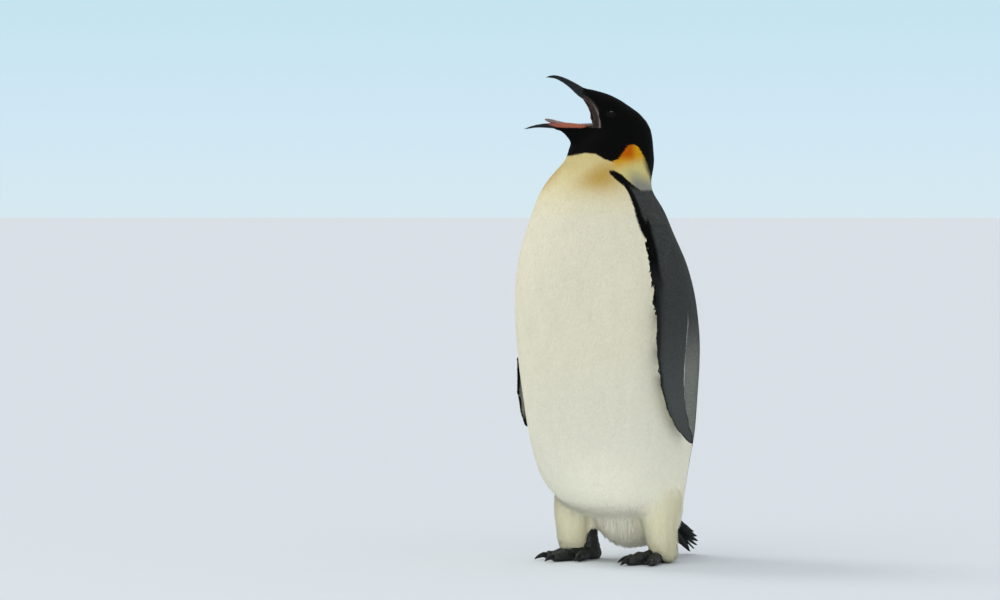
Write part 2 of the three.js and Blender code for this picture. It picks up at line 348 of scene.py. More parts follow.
def makeStudio(values):
    bpy.context.scene.view_settings.view_transform = "Standard"
    makeSky(values)
    front = turned(values["bearing"])
    leftOfView = turned(values["bearing"] - 90)
    chest = birdAxis + up * 0.6
    bpy.ops.object.light_add(type="SUN", location=chest + up * 4)
    sun = bpy.context.object
    sun.data.energy = values["sunPower"]
    sun.data.angle = math.radians(values["sunSpread"])
    sun.data.color = values["sunColour"]
    travel = front * 0.30 - leftOfView * 0.72 - up * 0.95
    sun.rotation_euler = travel.to_track_quat("-Z", "Y").to_euler()
    place = chest + front * 3.2 + leftOfView * 2.6 + up * 2.2
    addLight("key", place, chest, values["keySize"], values["keyPower"], values["keyColour"])
    # what pale ground ahead throws up under the bird
    legs = birdAxis + up * 0.07
    addLight("ground", legs + front * 2, legs, 0.2, values["groundPower"], values["groundColour"])
    bpy.context.object.data.spread = math.radians(values["groundSpread"])
    deselectAll()
    bpy.ops.mesh.primitive_plane_add(size=values["floorSize"], location=(0, 0, 0))
    floor = bpy.context.object
    floor.name = "floor"
    material, _, shader = startMaterial("studio floor", roughness=0.9, specular=0.1)
    shader.inputs["Base Color"].default_value = solid(values["floor"])
    floor.data.materials.append(material)


makeCamera(studio)
makeStudio(studio)
print("camera, lights and floor")

# the skin is made in place of these nodes
flesh = ["trunk", "neck", "head", "flipper_left", "flipper_right", "leg_left", "leg_right"]
headPart, leftWing, rightWing, leftLeg, rightLeg = range(2, len(flesh))

skinForm = {
    "voxel": 0.0053,
    "closeCuts": 0.0006,  # the nodes swell by this before they are joined, so that their thin cuts close
    "upperPlug": 0.068,  # how far ahead of the eyes the flesh is filled round the upper bill
    "lowerPlug": 0.046,
    "chinPlug": 0.134,
    "chinTop": -0.0268,  # the chin is filled up to here, from the eyes' height
    "chinSwell": 0.0036,
    "shankFrom": 0.074,  # above this the feathers of the leg cover the shank
    "shankSwell": 0.0078,
    "plugSwell": 0.0014,
    "trunkRounds": 70,
    "headRounds": 6,
    "fineRounds": 5,
    "throatRounds": 26,
    "crownSwell": 0.0042,
    "napeSwell": 0.0034,
    "rimRounds": 14,
    "depth": {"trunk": 0.0020, "head": 0.0011, "wing": 0.0008, "leg": 0.0034},
}
lidForm = {
    "ringOut": 0.0058,  # the lids' plane, from the middle of the eyeball
    "radius": 0.0077,
    "thick": 0.0012,
    "stretch": 1.14,
    "seat": 0.0145,  # the skin rises to the lids from here, round the line of sight
    "seatTop": 0.0088,
    "underEye": 0.0084,  # inside this it dives behind the eyeball
}
# rear border of the bare skin in the corner of the mouth: height over the eyes, ahead of them
gapeEdge = np.array([
    (-0.032, 0.0215), (-0.020, 0.0215), (-0.008, 0.0225), (0.004, 0.0260), (0.014, 0.0305),
    (0.024, 0.0365), (0.034, 0.0445), (0.042, 0.0530), (0.049, 0.0650), (0.056, 0.0800),
])


gapeForm = {
    "foldGap": 0.0043,
    "foldLean": 14,
    "foldDepth": 0.0010,
    "sink": 0.0004,
    "rimPlace": 0.0050,  # in front of the border
    "rimLift": 0.0012,
}


def headPlace(points):
    # how far ahead of the eyes, to the side and above them a point is
    offset = points - np.array(eyeMiddle)
    return offset @ aheadAxis, offset @ sideAxis, offset[:, 2]


def pastGape(ahead, height):
    # how far in front of the border of the bare skin
    return ahead - fromTable(gapeEdge, height)


def plug(nodes, swell, ahead=None, top=None, bottom=None):
    # flesh that fills the hollow which a bill or an eye sits in, or that covers a shank
    piece = copyNodes("plug", nodes)
    applyModifier(piece, "DISPLACE", strength=swell, mid_level=0)
    cuts = []
    if ahead is not None:
        cuts.append((eyeMiddle + headAhead * ahead, headAhead))
    if top is not None:
        cuts.append((eyeMiddle + up * top, up))
    if bottom is not None:
        cuts.append((up * bottom, -up))
    for place, direction in cuts:
        values = {"plane_co": place, "plane_no": direction, "use_fill": True, "clear_outer": True}
        onWholeMesh(bpy.ops.mesh.bisect, **values)
    return piece


def subdivideWhere(piece, chosen):
    # halves the faces whose middles are chosen
    makeActive(piece)
    mesh = piece.data
    bpy.ops.object.mode_set(mode="EDIT")
    bpy.ops.mesh.select_mode(type="FACE")
    bpy.ops.mesh.select_all(action="DESELECT")
    bpy.ops.object.mode_set(mode="OBJECT")
    mesh.polygons.foreach_set("select", chosen(readRows(mesh.polygons, "center", 3)))
    bpy.ops.object.mode_set(mode="EDIT")
    bpy.ops.mesh.subdivide(number_cuts=1)
    bpy.ops.mesh.select_mode(type="VERT")
    bpy.ops.object.mode_set(mode="OBJECT")


def onHead(points):
    return points[:, 2] > 0.965


def onFace(points):
    # round the eyes and the corners of the mouth
    ahead, aside, height = headPlace(points)
    eye = (np.hypot(ahead, height) < 0.018) & (np.abs(aside) > 0.025)
    mouth = (ahead > 0.012) & (ahead < 0.075) & (height > -0.036) & (height < 0.056) & (np.abs(aside) < 0.042)
    return eye | mouth


def makeSkin(values):
    body = copyNodes("skin", flesh)
    applyModifier(body, "DISPLACE", strength=values["closeCuts"], mid_level=0)
    plugs = [
        plug(["upper_bill"], values["plugSwell"], values["upperPlug"]),
        plug(["lower_bill"], values["plugSwell"], values["lowerPlug"]),
        plug(["lower_bill"], values["chinSwell"], values["chinPlug"], values["chinTop"]),
        plug(["eye_left", "eye_right"], values["closeCuts"]),
        plug(["foot_right"], values["shankSwell"], bottom=values["shankFrom"]),
        plug(["foot_left"], values["shankSwell"], bottom=values["shankFrom"]),
    ]
    skin = joinPieces("skin", [body, *plugs])
    applyModifier(skin, "REMESH", mode="VOXEL", voxel_size=values["voxel"])
    edges = meshEdges(skin.data)
    points = meshPoints(skin.data)
    setPoints(skin.data, relax(points, edges, np.ones(len(points)), values["headRounds"], keepSize=True))
    subdivideWhere(skin, onHead)
    subdivideWhere(skin, onFace)
    return skin


def nearestParts(points):
    # which of the nodes of flesh each point lies on
    vertices = []
    faces = []
    owner = []
    for index, name in enumerate(flesh):
        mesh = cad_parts[name].data
        mesh.calc_loop_triangles()
        start = len(vertices)
        vertices += [v.co.copy() for v in mesh.vertices]
        faces += [[start + i for i in triangle.vertices] for triangle in mesh.loop_triangles]
        owner += [index] * len(mesh.loop_triangles)
    tree = BVHTree.FromPolygons(vertices, faces)
    owner = np.array(owner)
    found = [tree.find_nearest(Vector(point))[2] for point in points]
    return owner[found]


skin = makeSkin(skinForm)
part = nearestParts(meshPoints(skin.data))
isWing = (part == leftWing) | (part == rightWing)
isLeg = (part == leftLeg) | (part == rightLeg)
isBody = ~isWing & ~isLeg


def spread(values, edges, rounds):
    # softens the borders of values held at the points of a mesh
    return relax(np.repeat(values.astype(float)[:, None], 3, 1), edges, np.ones(len(values)), rounds)[:, 0]


def seatEyes(points):
    # the skin rises to the lids round each eye and dives behind the eyeball
    ring, seat, under = [lidForm[key] for key in ("ringOut", "seat", "underEye")]
    for side, centre in ((1, eyeLeft), (-1, eyeRight)):
        outward = sideAxis * side
        offset = points - np.array(centre)
        out = offset @ outward
        around = offset - out[:, None] * outward
        reach = np.linalg.norm(around, axis=1)
        wanted = out + (ring - out) * ramp(reach, seat, lidForm["seatTop"])
        wanted = np.where(reach < under, ring - (under - reach) * 1.9, wanted)
        near = (reach < seat) & (out > -0.004)
        points = np.where(near[:, None], points + (wanted - out)[:, None] * outward, points)
    return points


def foldGape(points, normals):
    # stretched folds of bare skin in the corner of the mouth, and the rim behind them
    ahead, aside, height = headPlace(points)
    past = pastGape(ahead, height)
    bare = ramp(past, -0.001, 0.001) * ramp(past, 0.030, 0.022) * ramp(height, -0.034, -0.028)
    bare *= ramp(height, 0.054, 0.046) * ramp(np.abs(aside), 0.036, 0.030)
    fold = 0.5 + 0.5 * np.cos(past / gapeForm["foldGap"] * 2 * np.pi + gapeForm["foldLean"] * height)
    rim = nearBand(past - gapeForm["rimPlace"], 0.0016)
    lift = -gapeForm["sink"] - gapeForm["foldDepth"] * fold + gapeForm["rimLift"] * rim
    return points + normals * (bare * lift)[:, None]


def shapeSkin(mesh, values):
    # facets smoothed away, then the surface sinks by the depth of the coat
    edges = meshEdges(mesh)
    points = meshPoints(mesh)
    fine = onHead(points).astype(float)
    points = relax(points, edges, fine, values["fineRounds"] * 2, keepSize=True)
    ahead, _, height = headPlace(points)
    throat = ramp(ahead, 0.010, 0.030) * ramp(ahead, 0.095, 0.075) * ramp(height, -0.036, -0.046)
    throat *= ramp(height, -0.096, -0.080)
    points = relax(points, edges, throat * (points[:, 2] > 0.9), values["throatRounds"])
    crown = nearBand(ahead - 0.002, 0.034) * ramp(height, 0.010, 0.030) * (height < 0.1)
    nape = nearBand(height + 0.075, 0.055) * ramp(ahead, -0.065, -0.095) * (points[:, 2] > 0.86)
    setPoints(mesh, points)
    swell = values["crownSwell"] * crown + values["napeSwell"] * nape
    points = points + meshNormals(mesh) * swell[:, None]
    past = pastGape(ahead, height)
    rim = ramp(past, 0.007, 0.011) * onFace(points)
    points = relax(points, edges, spread(rim, edges, 2), values["rimRounds"])
    broad = ramp(points[:, 2], 0.94, 0.86) * ramp(points[:, 2], 0.07, 0.16) * isBody
    points = relax(points, edges, spread(broad, edges, 8), values["trunkRounds"])
    depth = values["depth"]
    sink = depth["head"] + (depth["trunk"] - depth["head"]) * ramp(points[:, 2], 0.98, 0.86)
    sink = np.where(isWing, depth["wing"], np.where(isLeg, depth["leg"], sink))
    setPoints(mesh, points)
    points = points - meshNormals(mesh) * spread(sink, edges, 6)[:, None]
    setPoints(mesh, seatEyes(points))
    setPoints(mesh, foldGape(meshPoints(mesh), meshNormals(mesh)))
    mesh.shade_smooth()


def makeLids(values):
    # a soft ring round each eye, heavier above
    lids = []
    for side, centre in ((1, eyeLeft), (-1, eyeRight)):
        outward = headSide * side
        lid = newPrimitive(
            bpy.ops.mesh.primitive_torus_add,
            location=centre + outward * values["ringOut"],
            rotation=outward.to_track_quat("Z", "Y").to_euler(),
            major_segments=44,
            minor_segments=12,
            major_radius=values["radius"],
            minor_radius=values["thick"],
        )
        offset = meshPoints(lid.data) - np.array(centre)
        along = offset @ aheadAxis
        out = offset @ np.array(outward)
        brow = ramp(offset[:, 2], 0.001, 0.007)
        offset += np.outer(along * (values["stretch"] - 1), aheadAxis)
        offset += np.outer((out - values["ringOut"]) * 0.5 * brow, np.array(outward))
        offset[:, 2] -= 0.0009 * brow
        setPoints(lid.data, offset + np.array(centre))
        lid.data.shade_smooth()
        lids.append(lid)
    return lids


shapeSkin(skin.data, skinForm)
skinEdges = meshEdges(skin.data)
legShare = spread(isLeg, skinEdges, 26)
wingShare = spread(isWing, skinEdges, 5)
skinCount = len(part)
skin = joinPieces("skin", [skin, *makeLids(lidForm)])
extra = len(skin.data.vertices) - skinCount
part = np.append(part, np.full(extra, headPart))
legShare = np.append(legShare, np.zeros(extra))
wingShare = np.append(wingShare, np.zeros(extra))
isBody = np.append(isBody, np.zeros(extra, bool))


def unwrapSkin():
    # a flat layout of the skin, for the bake of skin and coat
    makeActive(skin)
    onWholeMesh(bpy.ops.uv.smart_project, angle_limit=math.radians(70), island_margin=0.002)
    layer = skin.data.uv_layers.active
    layer.name = "OFBake"
    flat = 0.006 + 0.988 * readRows(layer.data, "uv", 2)  # room at the rim for the patches of the coat
    layer.data.foreach_set("uv", flat.ravel())
    return flat


bakePlace = unwrapSkin()
skin.data.calc_loop_triangles()
skinTriangles = readRows(skin.data.loop_triangles, "vertices", 3, np.int32)
skinCorners = readRows(skin.data.loop_triangles, "loops", 3, np.int32)
print("skin", len(skin.data.vertices), "points,", len(skinTriangles), "triangles")


def heightTable(points):
    return slabTable(points[:, 2], points[:, :2], 0.012)


def atHeight(table, heights):
    # columns: middle x, middle y, half x, half y
    return [fromTable(table, heights, column) for column in range(1, 5)]


skinPoints = meshPoints(skin.data)
skinNormals = meshNormals(skin.data)
bodyTable = heightTable(skinPoints[isBody])
wingTables = {}
wingTips = {}
for wing in (leftWing, rightWing):
    blade = skinPoints[part == wing]
    wingTables[wing] = heightTable(blade)
    wingTips[wing] = blade[np.argmin(blade[:, 2])]


def bodyAngle(points):
    # degrees round the body, 0 in front and 180 behind, alike on both sides
    midX, midY, halfX, halfY = atHeight(bodyTable, points[:, 2])
    across = np.abs(points[:, 0] - midX) / halfX
    return np.degrees(np.arctan2(across, -(points[:, 1] - midY) / halfY))


def outwardOf(points, normals):
    # above 0 where a surface faces away from the bird's middle
    return normals[:, 0] * np.sign(points[:, 0] - birdAxis.x)


# the hollow of the mouth: ahead of the eyes, its middle over them, its half-width and half-height
mouthHollow = np.array([
    (-0.019, -0.010, 0.003, 0.003), (0.003, -0.007, 0.014, 0.016), (0.029, 0, 0.018, 0.027),
    (0.055, 0.006, 0.022, 0.034), (0.080, 0.009, 0.020, 0.030),
])


def mouthOf(points):
    # where the bare skin is inside the mouth, and where it folds in its corner
    ahead, aside, height = headPlace(points)
    past = pastGape(ahead, height)
    middleUp, halfWide, halfHigh = [fromTable(mouthHollow, ahead, column) for column in (1, 2, 3)]
    inside = np.hypot(aside / (halfWide + 0.002), (height - middleUp) / (halfHigh + 0.002)) < 1
    inside &= (ahead > -0.022) & (height < 0.047)
    corner = (past > 0) & (past < 0.034) & (height > -0.031) & (height < 0.049) & (np.abs(aside) < 0.034)
    return inside, corner, past


# one set of rules paints skin and coat alike
plumage = {
    "white": tint("fcf5da"),
    "lowWhite": tint("fbf6e0"),
    "cream": tint("efe2a8"),
    "gold": tint("cda64a"),
    "legs": tint("fdf6d2"),
    "black": tint("080808"),
    "slate": tint("353737"),
    "slateTip": tint("5e605d"),
    "flank": tint("70716b"),
    "flankTip": tint("a2a39a"),
    "wing": tint("383b3b"),
    "wingLow": tint("525553"),
    "wingTip": tint("626562"),
    "wingEdge": tint("c9cbc8"),
    "inner": tint("8a8e84"),
    "grey": tint("96958a"),
    "orange": tint("cb6403"),
    "yellow": tint("e2a61a"),
    "paleYellow": tint("e5d68a"),
    "gape": tint("342d29"),
    # rim: painted highlight on the raised rim of the bare skin in the mouth's corner
    "rim": tint("94807a"),
    "mouth": tint("48302c"),
    "lid": tint("101012"),
    # brow: painted highlight on the upper front edge of the lids
    "brow": tint("7b8485"),
}
# lower edge of the black hood: ahead of the eyes, height
hoodEdge = np.array([
    (-0.120, 0.872), (-0.102, 0.890), (-0.100, 0.909), (-0.091, 0.927), (-0.080, 0.948),
    (-0.070, 0.965), (-0.061, 0.979), (-0.050, 0.984), (-0.036, 0.981), (-0.024, 0.966),
    (-0.010, 0.949), (0.006, 0.943), (0.023, 0.949), (0.042, 0.961), (0.065, 0.963), (0.093, 0.957),
])
# front edge of the dark back: height, degrees round the body
backEdge = np.array([
    (0.10, 134), (0.20, 134), (0.265, 134), (0.30, 124), (0.33, 109), (0.38, 99), (0.45, 96), (0.56, 93),
    (0.62, 92), (0.665, 90), (0.70, 87.5), (0.74, 83), (0.782, 80), (0.815, 79.5), (0.848, 81.5),
    (0.869, 82.5), (0.884, 80.5), (0.893, 74.5), (0.905, 66), (0.914, 59), (0.924, 56),
])
# top of the dark back: degrees round the body, height
backTop = np.array([
    (54, 0.924), (62, 0.923), (74, 0.915), (84, 0.901), (102, 0.876), (135, 0.878), (180, 0.887),
])


# a pair is where a soft border starts and where it ends
backForm = {
    "bandEdge": (8.5, 5),  # degrees behind the back's front edge
    "bandHeights": (0.52, 0.66),
    "stripeHeights": (0.872, 0.890),
    "napeAngles": (140, 160),  # degrees round the body
    "napeHeights": (0.80, 0.87),
    "flankAngles": (152, 118),
    "flankHeights": (0.60, 0.43),
    "tipShare": 0.75,  # how much of the tips' colour shows
}


def backMarks(points, colour, values):
    # dark back with its black front band and shoulder stripe
    height = points[:, 2]
    angle = bodyAngle(points)
    edge = fromTable(backEdge, height)
    top = fromTable(backTop, angle)
    back = ramp(angle - edge, -0.8, 0.8) * ramp(top - height, -0.001, 0.002)
    band = ramp(angle - edge, *values["bandEdge"]) * ramp(height, *values["bandHeights"])
    band = np.maximum(band, ramp(height, *values["stripeHeights"]))
    nape = ramp(angle, *values["napeAngles"]) * ramp(height, *values["napeHeights"])
    band = np.clip(np.maximum(band, nape), 0, 1)
    flank = ramp(height, *values["flankHeights"]) * ramp(angle, *values["flankAngles"])
    slate = blend(filled(len(points), plumage["slate"]), plumage["flank"], flank)
    slate = blend(slate, plumage["black"], band)
    slateTip = blend(filled(len(points), plumage["slateTip"]), plumage["flankTip"], flank)
    colour = blend(colour, slate, back)
    return colour, blend(colour, slateTip, back * (1 - band) * values["tipShare"])


neckForm = {
    "lowEdge": np.array([(-0.10, 0.855), (-0.06, 0.868), (-0.02, 0.898)]),  # ahead of the eyes, height
    "front": (0.012, -0.006),  # ahead of the eyes
    "greyHeights": (0.952, 0.904),
    "greySlope": 0.30,
    "greyAhead": (-0.015, -0.055),
    "patchHeights": (0.912, 0.946),
    "patchSlope": 0.25,
    "orangeHeights": (0.940, 0.962),
    "orangeAhead": (-0.060, -0.041),
    "napeTurns": (0.87, 0.95),  # the dark nape turns from the back to the head between these heights
    "napeEdge": (0.77, 0.92),  # cosine of the angle from its middle
    "napeFoot": (0.855, 0.870),
    "napeTop": (1.0, 0.96),
}


def neckMarks(points, colour, values):
    # side of the neck: pale in front, orange below the hood's notch, grey at the nape
    height = points[:, 2]
    ahead = headPlace(points)[0]
    neck = ramp(height - fromTable(values["lowEdge"], ahead), 0, 0.010) * ramp(ahead, *values["front"])
    grey = ramp(height - values["greySlope"] * ahead, *values["greyHeights"])
    grey *= ramp(ahead, *values["greyAhead"])
    tone = blend(filled(len(points), plumage["paleYellow"]), plumage["grey"], grey)
    patch = ramp(height + values["patchSlope"] * ahead, *values["patchHeights"])
    tone = blend(tone, plumage["yellow"], patch)
    orange = ramp(ahead, *values["orangeAhead"]) * ramp(height, *values["orangeHeights"])
    tone = blend(tone, plumage["orange"], orange)
    colour = blend(colour, tone, neck)
    # the dark nape turns from the back of the head to the middle of the back
    midX, midY, _, _ = atHeight(bodyTable, height)
    turn = ramp(height, *values["napeTurns"])[:, None]
    behind = unit(np.array([[0.0, 1.0]]) * (1 - turn) - aheadAxis[None, :2] * turn)
    around = unit(points[:, :2] - np.column_stack([midX, midY]))
    nape = ramp(np.sum(around * behind, 1), *values["napeEdge"]) * ramp(height, *values["napeFoot"])
    nape *= ramp(height, *values["napeTop"])
    return blend(colour, filled(len(points), plumage["black"]), nape)


# a chord runs from -1 at a wing's front edge to 1 at its back edge
wingForm = {
    "lowHeights": (0.62, 0.36),
    "shoulderHeights": (0.66, 0.80),
    "frontChord": (-0.80, -0.97),  # the black front edge, and above it a broader one
    "frontShare": 0.6,
    "topChord": (-0.62, -0.82),
    "topHeights": (0.60, 0.72),
    "paleTips": (-0.9, -0.5),
    "paleShare": 0.6,
    "shoulderShare": 0.7,
    "backChord": (0.85, 0.92),  # the pale back edge
    "backFrom": (0.37, 0.40),
    "backTo": (0.60, 0.54),
    "innerChord": (-0.38, -0.58),
    "rimChord": (-0.82, -0.92),
    "rimTip": (0.36, 0.32),
    "broadRimChord": (-0.62, -0.75),
    "broadRimHeights": (0.41, 0.44),
}


def wingMarks(points, outward, wing, values):
    # slate outside, white inside, which greys towards the front, with a black rim and tip
    height = points[:, 2]
    _, midY, _, halfY = atHeight(wingTables[wing], height)
    chord = (points[:, 1] - midY) / np.maximum(halfY, 0.004)
    count = len(points)
    # greyer towards the tip, like the back at the shoulder
    low = blend(filled(count, plumage["wing"]), plumage["wingLow"], ramp(height, *values["lowHeights"]))
    shoulder = ramp(height, *values["shoulderHeights"])
    low = blend(low, plumage["slate"], shoulder)
    front = ramp(chord, *values["topChord"]) * ramp(height, *values["topHeights"])
    front = np.maximum(values["frontShare"] * ramp(chord, *values["frontChord"]), front)
    outside = blend(low, plumage["black"], front)
    paleTips = values["paleShare"] * ramp(chord, *values["paleTips"]) * (1 - front)
    outsideTip = blend(outside, plumage["wingTip"], paleTips)
    outsideTip = blend(outsideTip, plumage["slateTip"], values["shoulderShare"] * shoulder * (1 - front))
    pale = ramp(chord, *values["backChord"])
    pale *= ramp(height, *values["backFrom"]) * ramp(height, *values["backTo"])
    outside = blend(outside, plumage["wingEdge"], pale)
    outsideTip = blend(outsideTip, plumage["wingEdge"], pale)
    inside = blend(filled(count, plumage["white"]), plumage["inner"], ramp(chord, *values["innerChord"]))
    rim = np.maximum(ramp(chord, *values["rimChord"]), ramp(height, *values["rimTip"]))
    broadRim = ramp(chord, *values["broadRimChord"]) * ramp(height, *values["broadRimHeights"])
    rim = np.maximum(rim, broadRim)
    inside = blend(inside, plumage["black"], rim)
    outer = (outward > 0)[:, None]
    return np.where(outer, outside, inside), np.where(outer, outsideTip, inside)


breastForm = {
    "lowWhite": (0.62, 0.25),  # heights
    "cream": (0.79, 0.95),
    "goldAngle": (50, 30),  # middle and width, degrees round the body
    "goldHeight": (0.908, 0.045),
    "goldShare": 0.9,
    "goldRise": (0.82, 0.90),
    "throatShare": 0.28,
    "throatHeights": (0.86, 0.95),
    "throatAngles": (95, 70),
}


def breastMarks(points, colour, values):
    # cream deepening to gold beside the shoulder stripe
    height = points[:, 2]
    angle = bodyAngle(points)
    colour = blend(colour, plumage["lowWhite"], ramp(height, *values["lowWhite"]))
    colour = blend(colour, plumage["cream"], ramp(height, *values["cream"]))
    middleAngle, wideAngle = values["goldAngle"]
    middleHeight, wideHeight = values["goldHeight"]
    gold = values["goldShare"] * nearBand(angle - middleAngle, wideAngle)
    gold *= nearBand(height - middleHeight, wideHeight)
    throat = values["throatShare"] * ramp(height, *values["throatHeights"])
    gold = np.maximum(gold, throat * ramp(angle, *values["throatAngles"]))
    return blend(colour, plumage["gold"], np.clip(gold, 0, 1) * ramp(height, *values["goldRise"]))


def markings(points, owner, outward, leg):
    # colour of the feathers that grow at each point, and the lighter colour of their tips
    height = points[:, 2]
    colour = breastMarks(points, filled(len(points), plumage["white"]), breastForm)
    colour = neckMarks(points, colour, neckForm)
    colour, tip = backMarks(points, colour, backForm)
    # black hood
    hood = height - fromTable(hoodEdge, headPlace(points)[0])
    hood = ramp(hood, -0.0015, 0.0015) * (height > 0.86)
    colour = blend(colour, plumage["black"], hood)
    tip = blend(tip, plumage["black"], hood)
    colour = blend(colour, plumage["legs"], leg)
    tip = blend(tip, plumage["legs"], leg)
    for wing in (leftWing, rightWing):
        mine = owner == wing
        colour[mine], tip[mine] = wingMarks(points[mine], outward[mine], wing, wingForm)
    return colour, tip


def paintSkin():
    colour, _ = markings(skinPoints, part, outwardOf(skinPoints, skinNormals), legShare)
    # painted shade: the skin under the coat is darker than the markings, 0.94 of them on pale plumage and 0.7
    # on dark
    bright = ramp(colour.mean(1), 0.02, 0.3)
    colour = colour * (0.7 + 0.24 * bright)[:, None]
    inside, corner, past = mouthOf(skinPoints)
    onHeadPart = part == headPart
    ahead, _, height = headPlace(skinPoints)
    # painted highlight: the raised rim behind the folds is painted paler and pinker, fading upwards
    rim = nearBand(past - gapeForm["rimPlace"], 0.0017) * ramp(height, 0.040, 0.004) * 0.9
    bare = blend(filled(len(past), plumage["gape"]), plumage["rim"], rim)
    bare = blend(bare, plumage["mouth"], inside.astype(float))
    colour = np.where(((inside | corner) & onHeadPart)[:, None], bare, colour)
    colour[skinCount:] = plumage["lid"]
    # painted highlight: a pale streak on the upper front edge of the lids, in place of a reflection on their
    # moist rim
    brow = ramp(height, 0.0045, 0.0070) * ramp(ahead, -0.004, 0.001) * (np.arange(len(height)) >= skinCount)
    colour = blend(colour, plumage["brow"], brow)
    paint(skin.data, colour)
    # the lids and the bare skin are moist
    shine = np.where((inside | corner) & onHeadPart, 0.6, 0)
    shine[skinCount:] = 1
    addAttribute(skin.data, "shine", "FLOAT", "value", shine)


paintSkin()


def flowOf(points, normals, owner, leg):
    # which way feathers lie: back over the head, down the body, along the wings, down the legs
    source = np.array(eyeMiddle + headAhead * 0.145 + up * 0.016)
    overHead = unit(points - source)
    down = np.tile([0.0, 0.0, -1.0], (len(points), 1))
    behind = ramp(points[:, 1] - birdAxis.y, 0.02, 0.16) * ramp(points[:, 2], 0.34, 0.12)
    down[:, 1] += 1.1 * behind + 0.12 * ramp(points[:, 2], 0.2, 0.1)
    angle = bodyAngle(points)
    down[:, 1] += 0.22 * ramp(angle, 40, 90) * ramp(angle, 150, 100)
    flow = blend(down, overHead, ramp(points[:, 2], 0.90, 0.985))
    for wing in (leftWing, rightWing):
        mine = owner == wing
        flow[mine] = wingTips[wing] + np.array([0, 0.01, -0.12]) - points[mine]
    flow = unit(flow)
    flow = blend(flow, np.array([0, 0.1, -1]), leg)
    flow -= normals * np.sum(flow * normals, 1)[:, None]
    return unit(flow)


# the coat is small solid vanes over the skin
coatForm = {
    "seed": 7,
    "crowding": 2.16,  # places tried in each square of one spacing
    "faceSize": 0.00145,  # how far apart the feathers grow
    "headSize": 0.0017,
    "neckSize": 0.0021,
    "trunkSize": 0.00248,
    "wingSize": 0.0020,
    "legSize": 0.0023,
    "perPiece": 19500,
    "sink": 0.11,
    # how much the feathers differ: shares of their own length, width and lift
    "lengths": (0.88, 1.12),
    "widths": (0.92, 1.08),
    "lifts": (0.85, 1.15),
    "underLifts": (0.05, 0.42),  # added under the bird and at the back of the legs, shares of the length
    "flareLifts": (0.14, 0.26),
    "raggedEnds": (-0.25, 0.30),
    "turn": 0.055,  # radians
    "looseTurn": 0.10,
    "stray": 0.0004,
    "shade": 0.020,
    "colourAt": 0.55,  # the places along the length that give a vane its colours
    "tipColourAt": 0.85,
    "softness": 0.86,  # how far the vanes are shaded as one surface
    "bakePatch": 0.003,
    "upperEnd": 0.059,  # how far ahead of the eyes feathers may grow, over the mouth and under it
    "chinEnd": 0.122,
}
# length, width and lift of the vanes for the spacing of 1: lift is a share of the length
vaneForms = {
    "trunk": (4.9, 1.85, 0.064),
    "wing": (3.2, 1.8, 0.085),
    "leg": (9.0, 1.4, 0.15),
    "vent": (8.5, 1.5, 0.11),
}
# a vane's outline, across and along, and the top of its ridge
vaneOutline = np.array([(0, 0), (0.44, 0.42), (0.37, 0.84), (0, 1), (-0.37, 0.84), (-0.44, 0.42)])
vaneCount = len(vaneOutline)
alongShare = np.append(vaneOutline[:, 1], 0.58)
acrossShare = np.append(vaneOutline[:, 0], 0)
raised = np.append(np.zeros(vaneCount), 1)


def featherSize(points, wing, leg):
    # how far apart feathers grow
    heights = [0.86, 0.93, 0.99, 1.03]
    sizes = [coatForm[name] for name in ("trunkSize", "neckSize", "headSize", "faceSize")]
    size = np.interp(points[:, 2], heights, sizes)
    size = size + (coatForm["wingSize"] - size) * wing
    return size + (coatForm["legSize"] - size) * leg


def overEye(points, reach):
    ahead, aside, height = headPlace(points)
    return (np.hypot(ahead / 1.1, height) < reach) & (np.abs(aside) > 0.028)


def bareSkin(points, owner):
    # true in the mouth, in its corners and on the eyes, where no feathers grow
    inside, corner, _ = mouthOf(points)
    return (inside | corner) & (owner == headPart) | overEye(points, 0.0075)


def onPlugEnd(points, normals):
    # the cut ends of the flesh under the two bills
    ahead, _, height = headPlace(points)
    end = np.where(height > 0, coatForm["upperEnd"], coatForm["chinEnd"])
    facing = normals @ aheadAxis > 0.42
    return ((ahead > end) & facing | (ahead > end + 0.0035)) & (points[:, 2] > 0.95)


def growPlaces(random):
    # evenly spread places on the skin, closer together where feathers are small
    shape = skinPoints[skinTriangles]
    first = skinTriangles[:, 0]
    area = np.linalg.norm(np.cross(shape[:, 1] - shape[:, 0], shape[:, 2] - shape[:, 0]), axis=1) / 2
    owner = part[first]
    wing = wingShare[skinTriangles].mean(1)
    leg = legShare[skinTriangles].mean(1)
    centre = shape.mean(1)
    size = featherSize(centre, wing, leg)
    wanted = area / size ** 2 * coatForm["crowding"]
    wanted[bareSkin(centre, owner) | onPlugEnd(centre, skinNormals[first]) | (first >= skinCount)] = 0
    copies = np.floor(wanted + random.random(len(wanted))).astype(int)
    chosen = np.repeat(np.arange(len(wanted)), copies)
    random.shuffle(chosen)
    share = random.random((len(chosen), 2))
    share = np.where(share.sum(1)[:, None] > 1, 1 - share, share)
    weights = np.column_stack([1 - share.sum(1), share])

    def between(values):
        return np.einsum("ij,ijk->ik", weights, values)

    points = between(shape[chosen])
    size = size[chosen]
    kept = thinOut(points, size, range(len(points)))
    return {
        "point": points[kept],
        "normal": unit(between(skinNormals[skinTriangles[chosen]]))[kept],
        "bake": between(bakePlace[skinCorners[chosen]])[kept],
        "owner": owner[chosen][kept],
        "wing": wing[chosen][kept],
        "leg": leg[chosen][kept],
        "size": size[kept],
    }


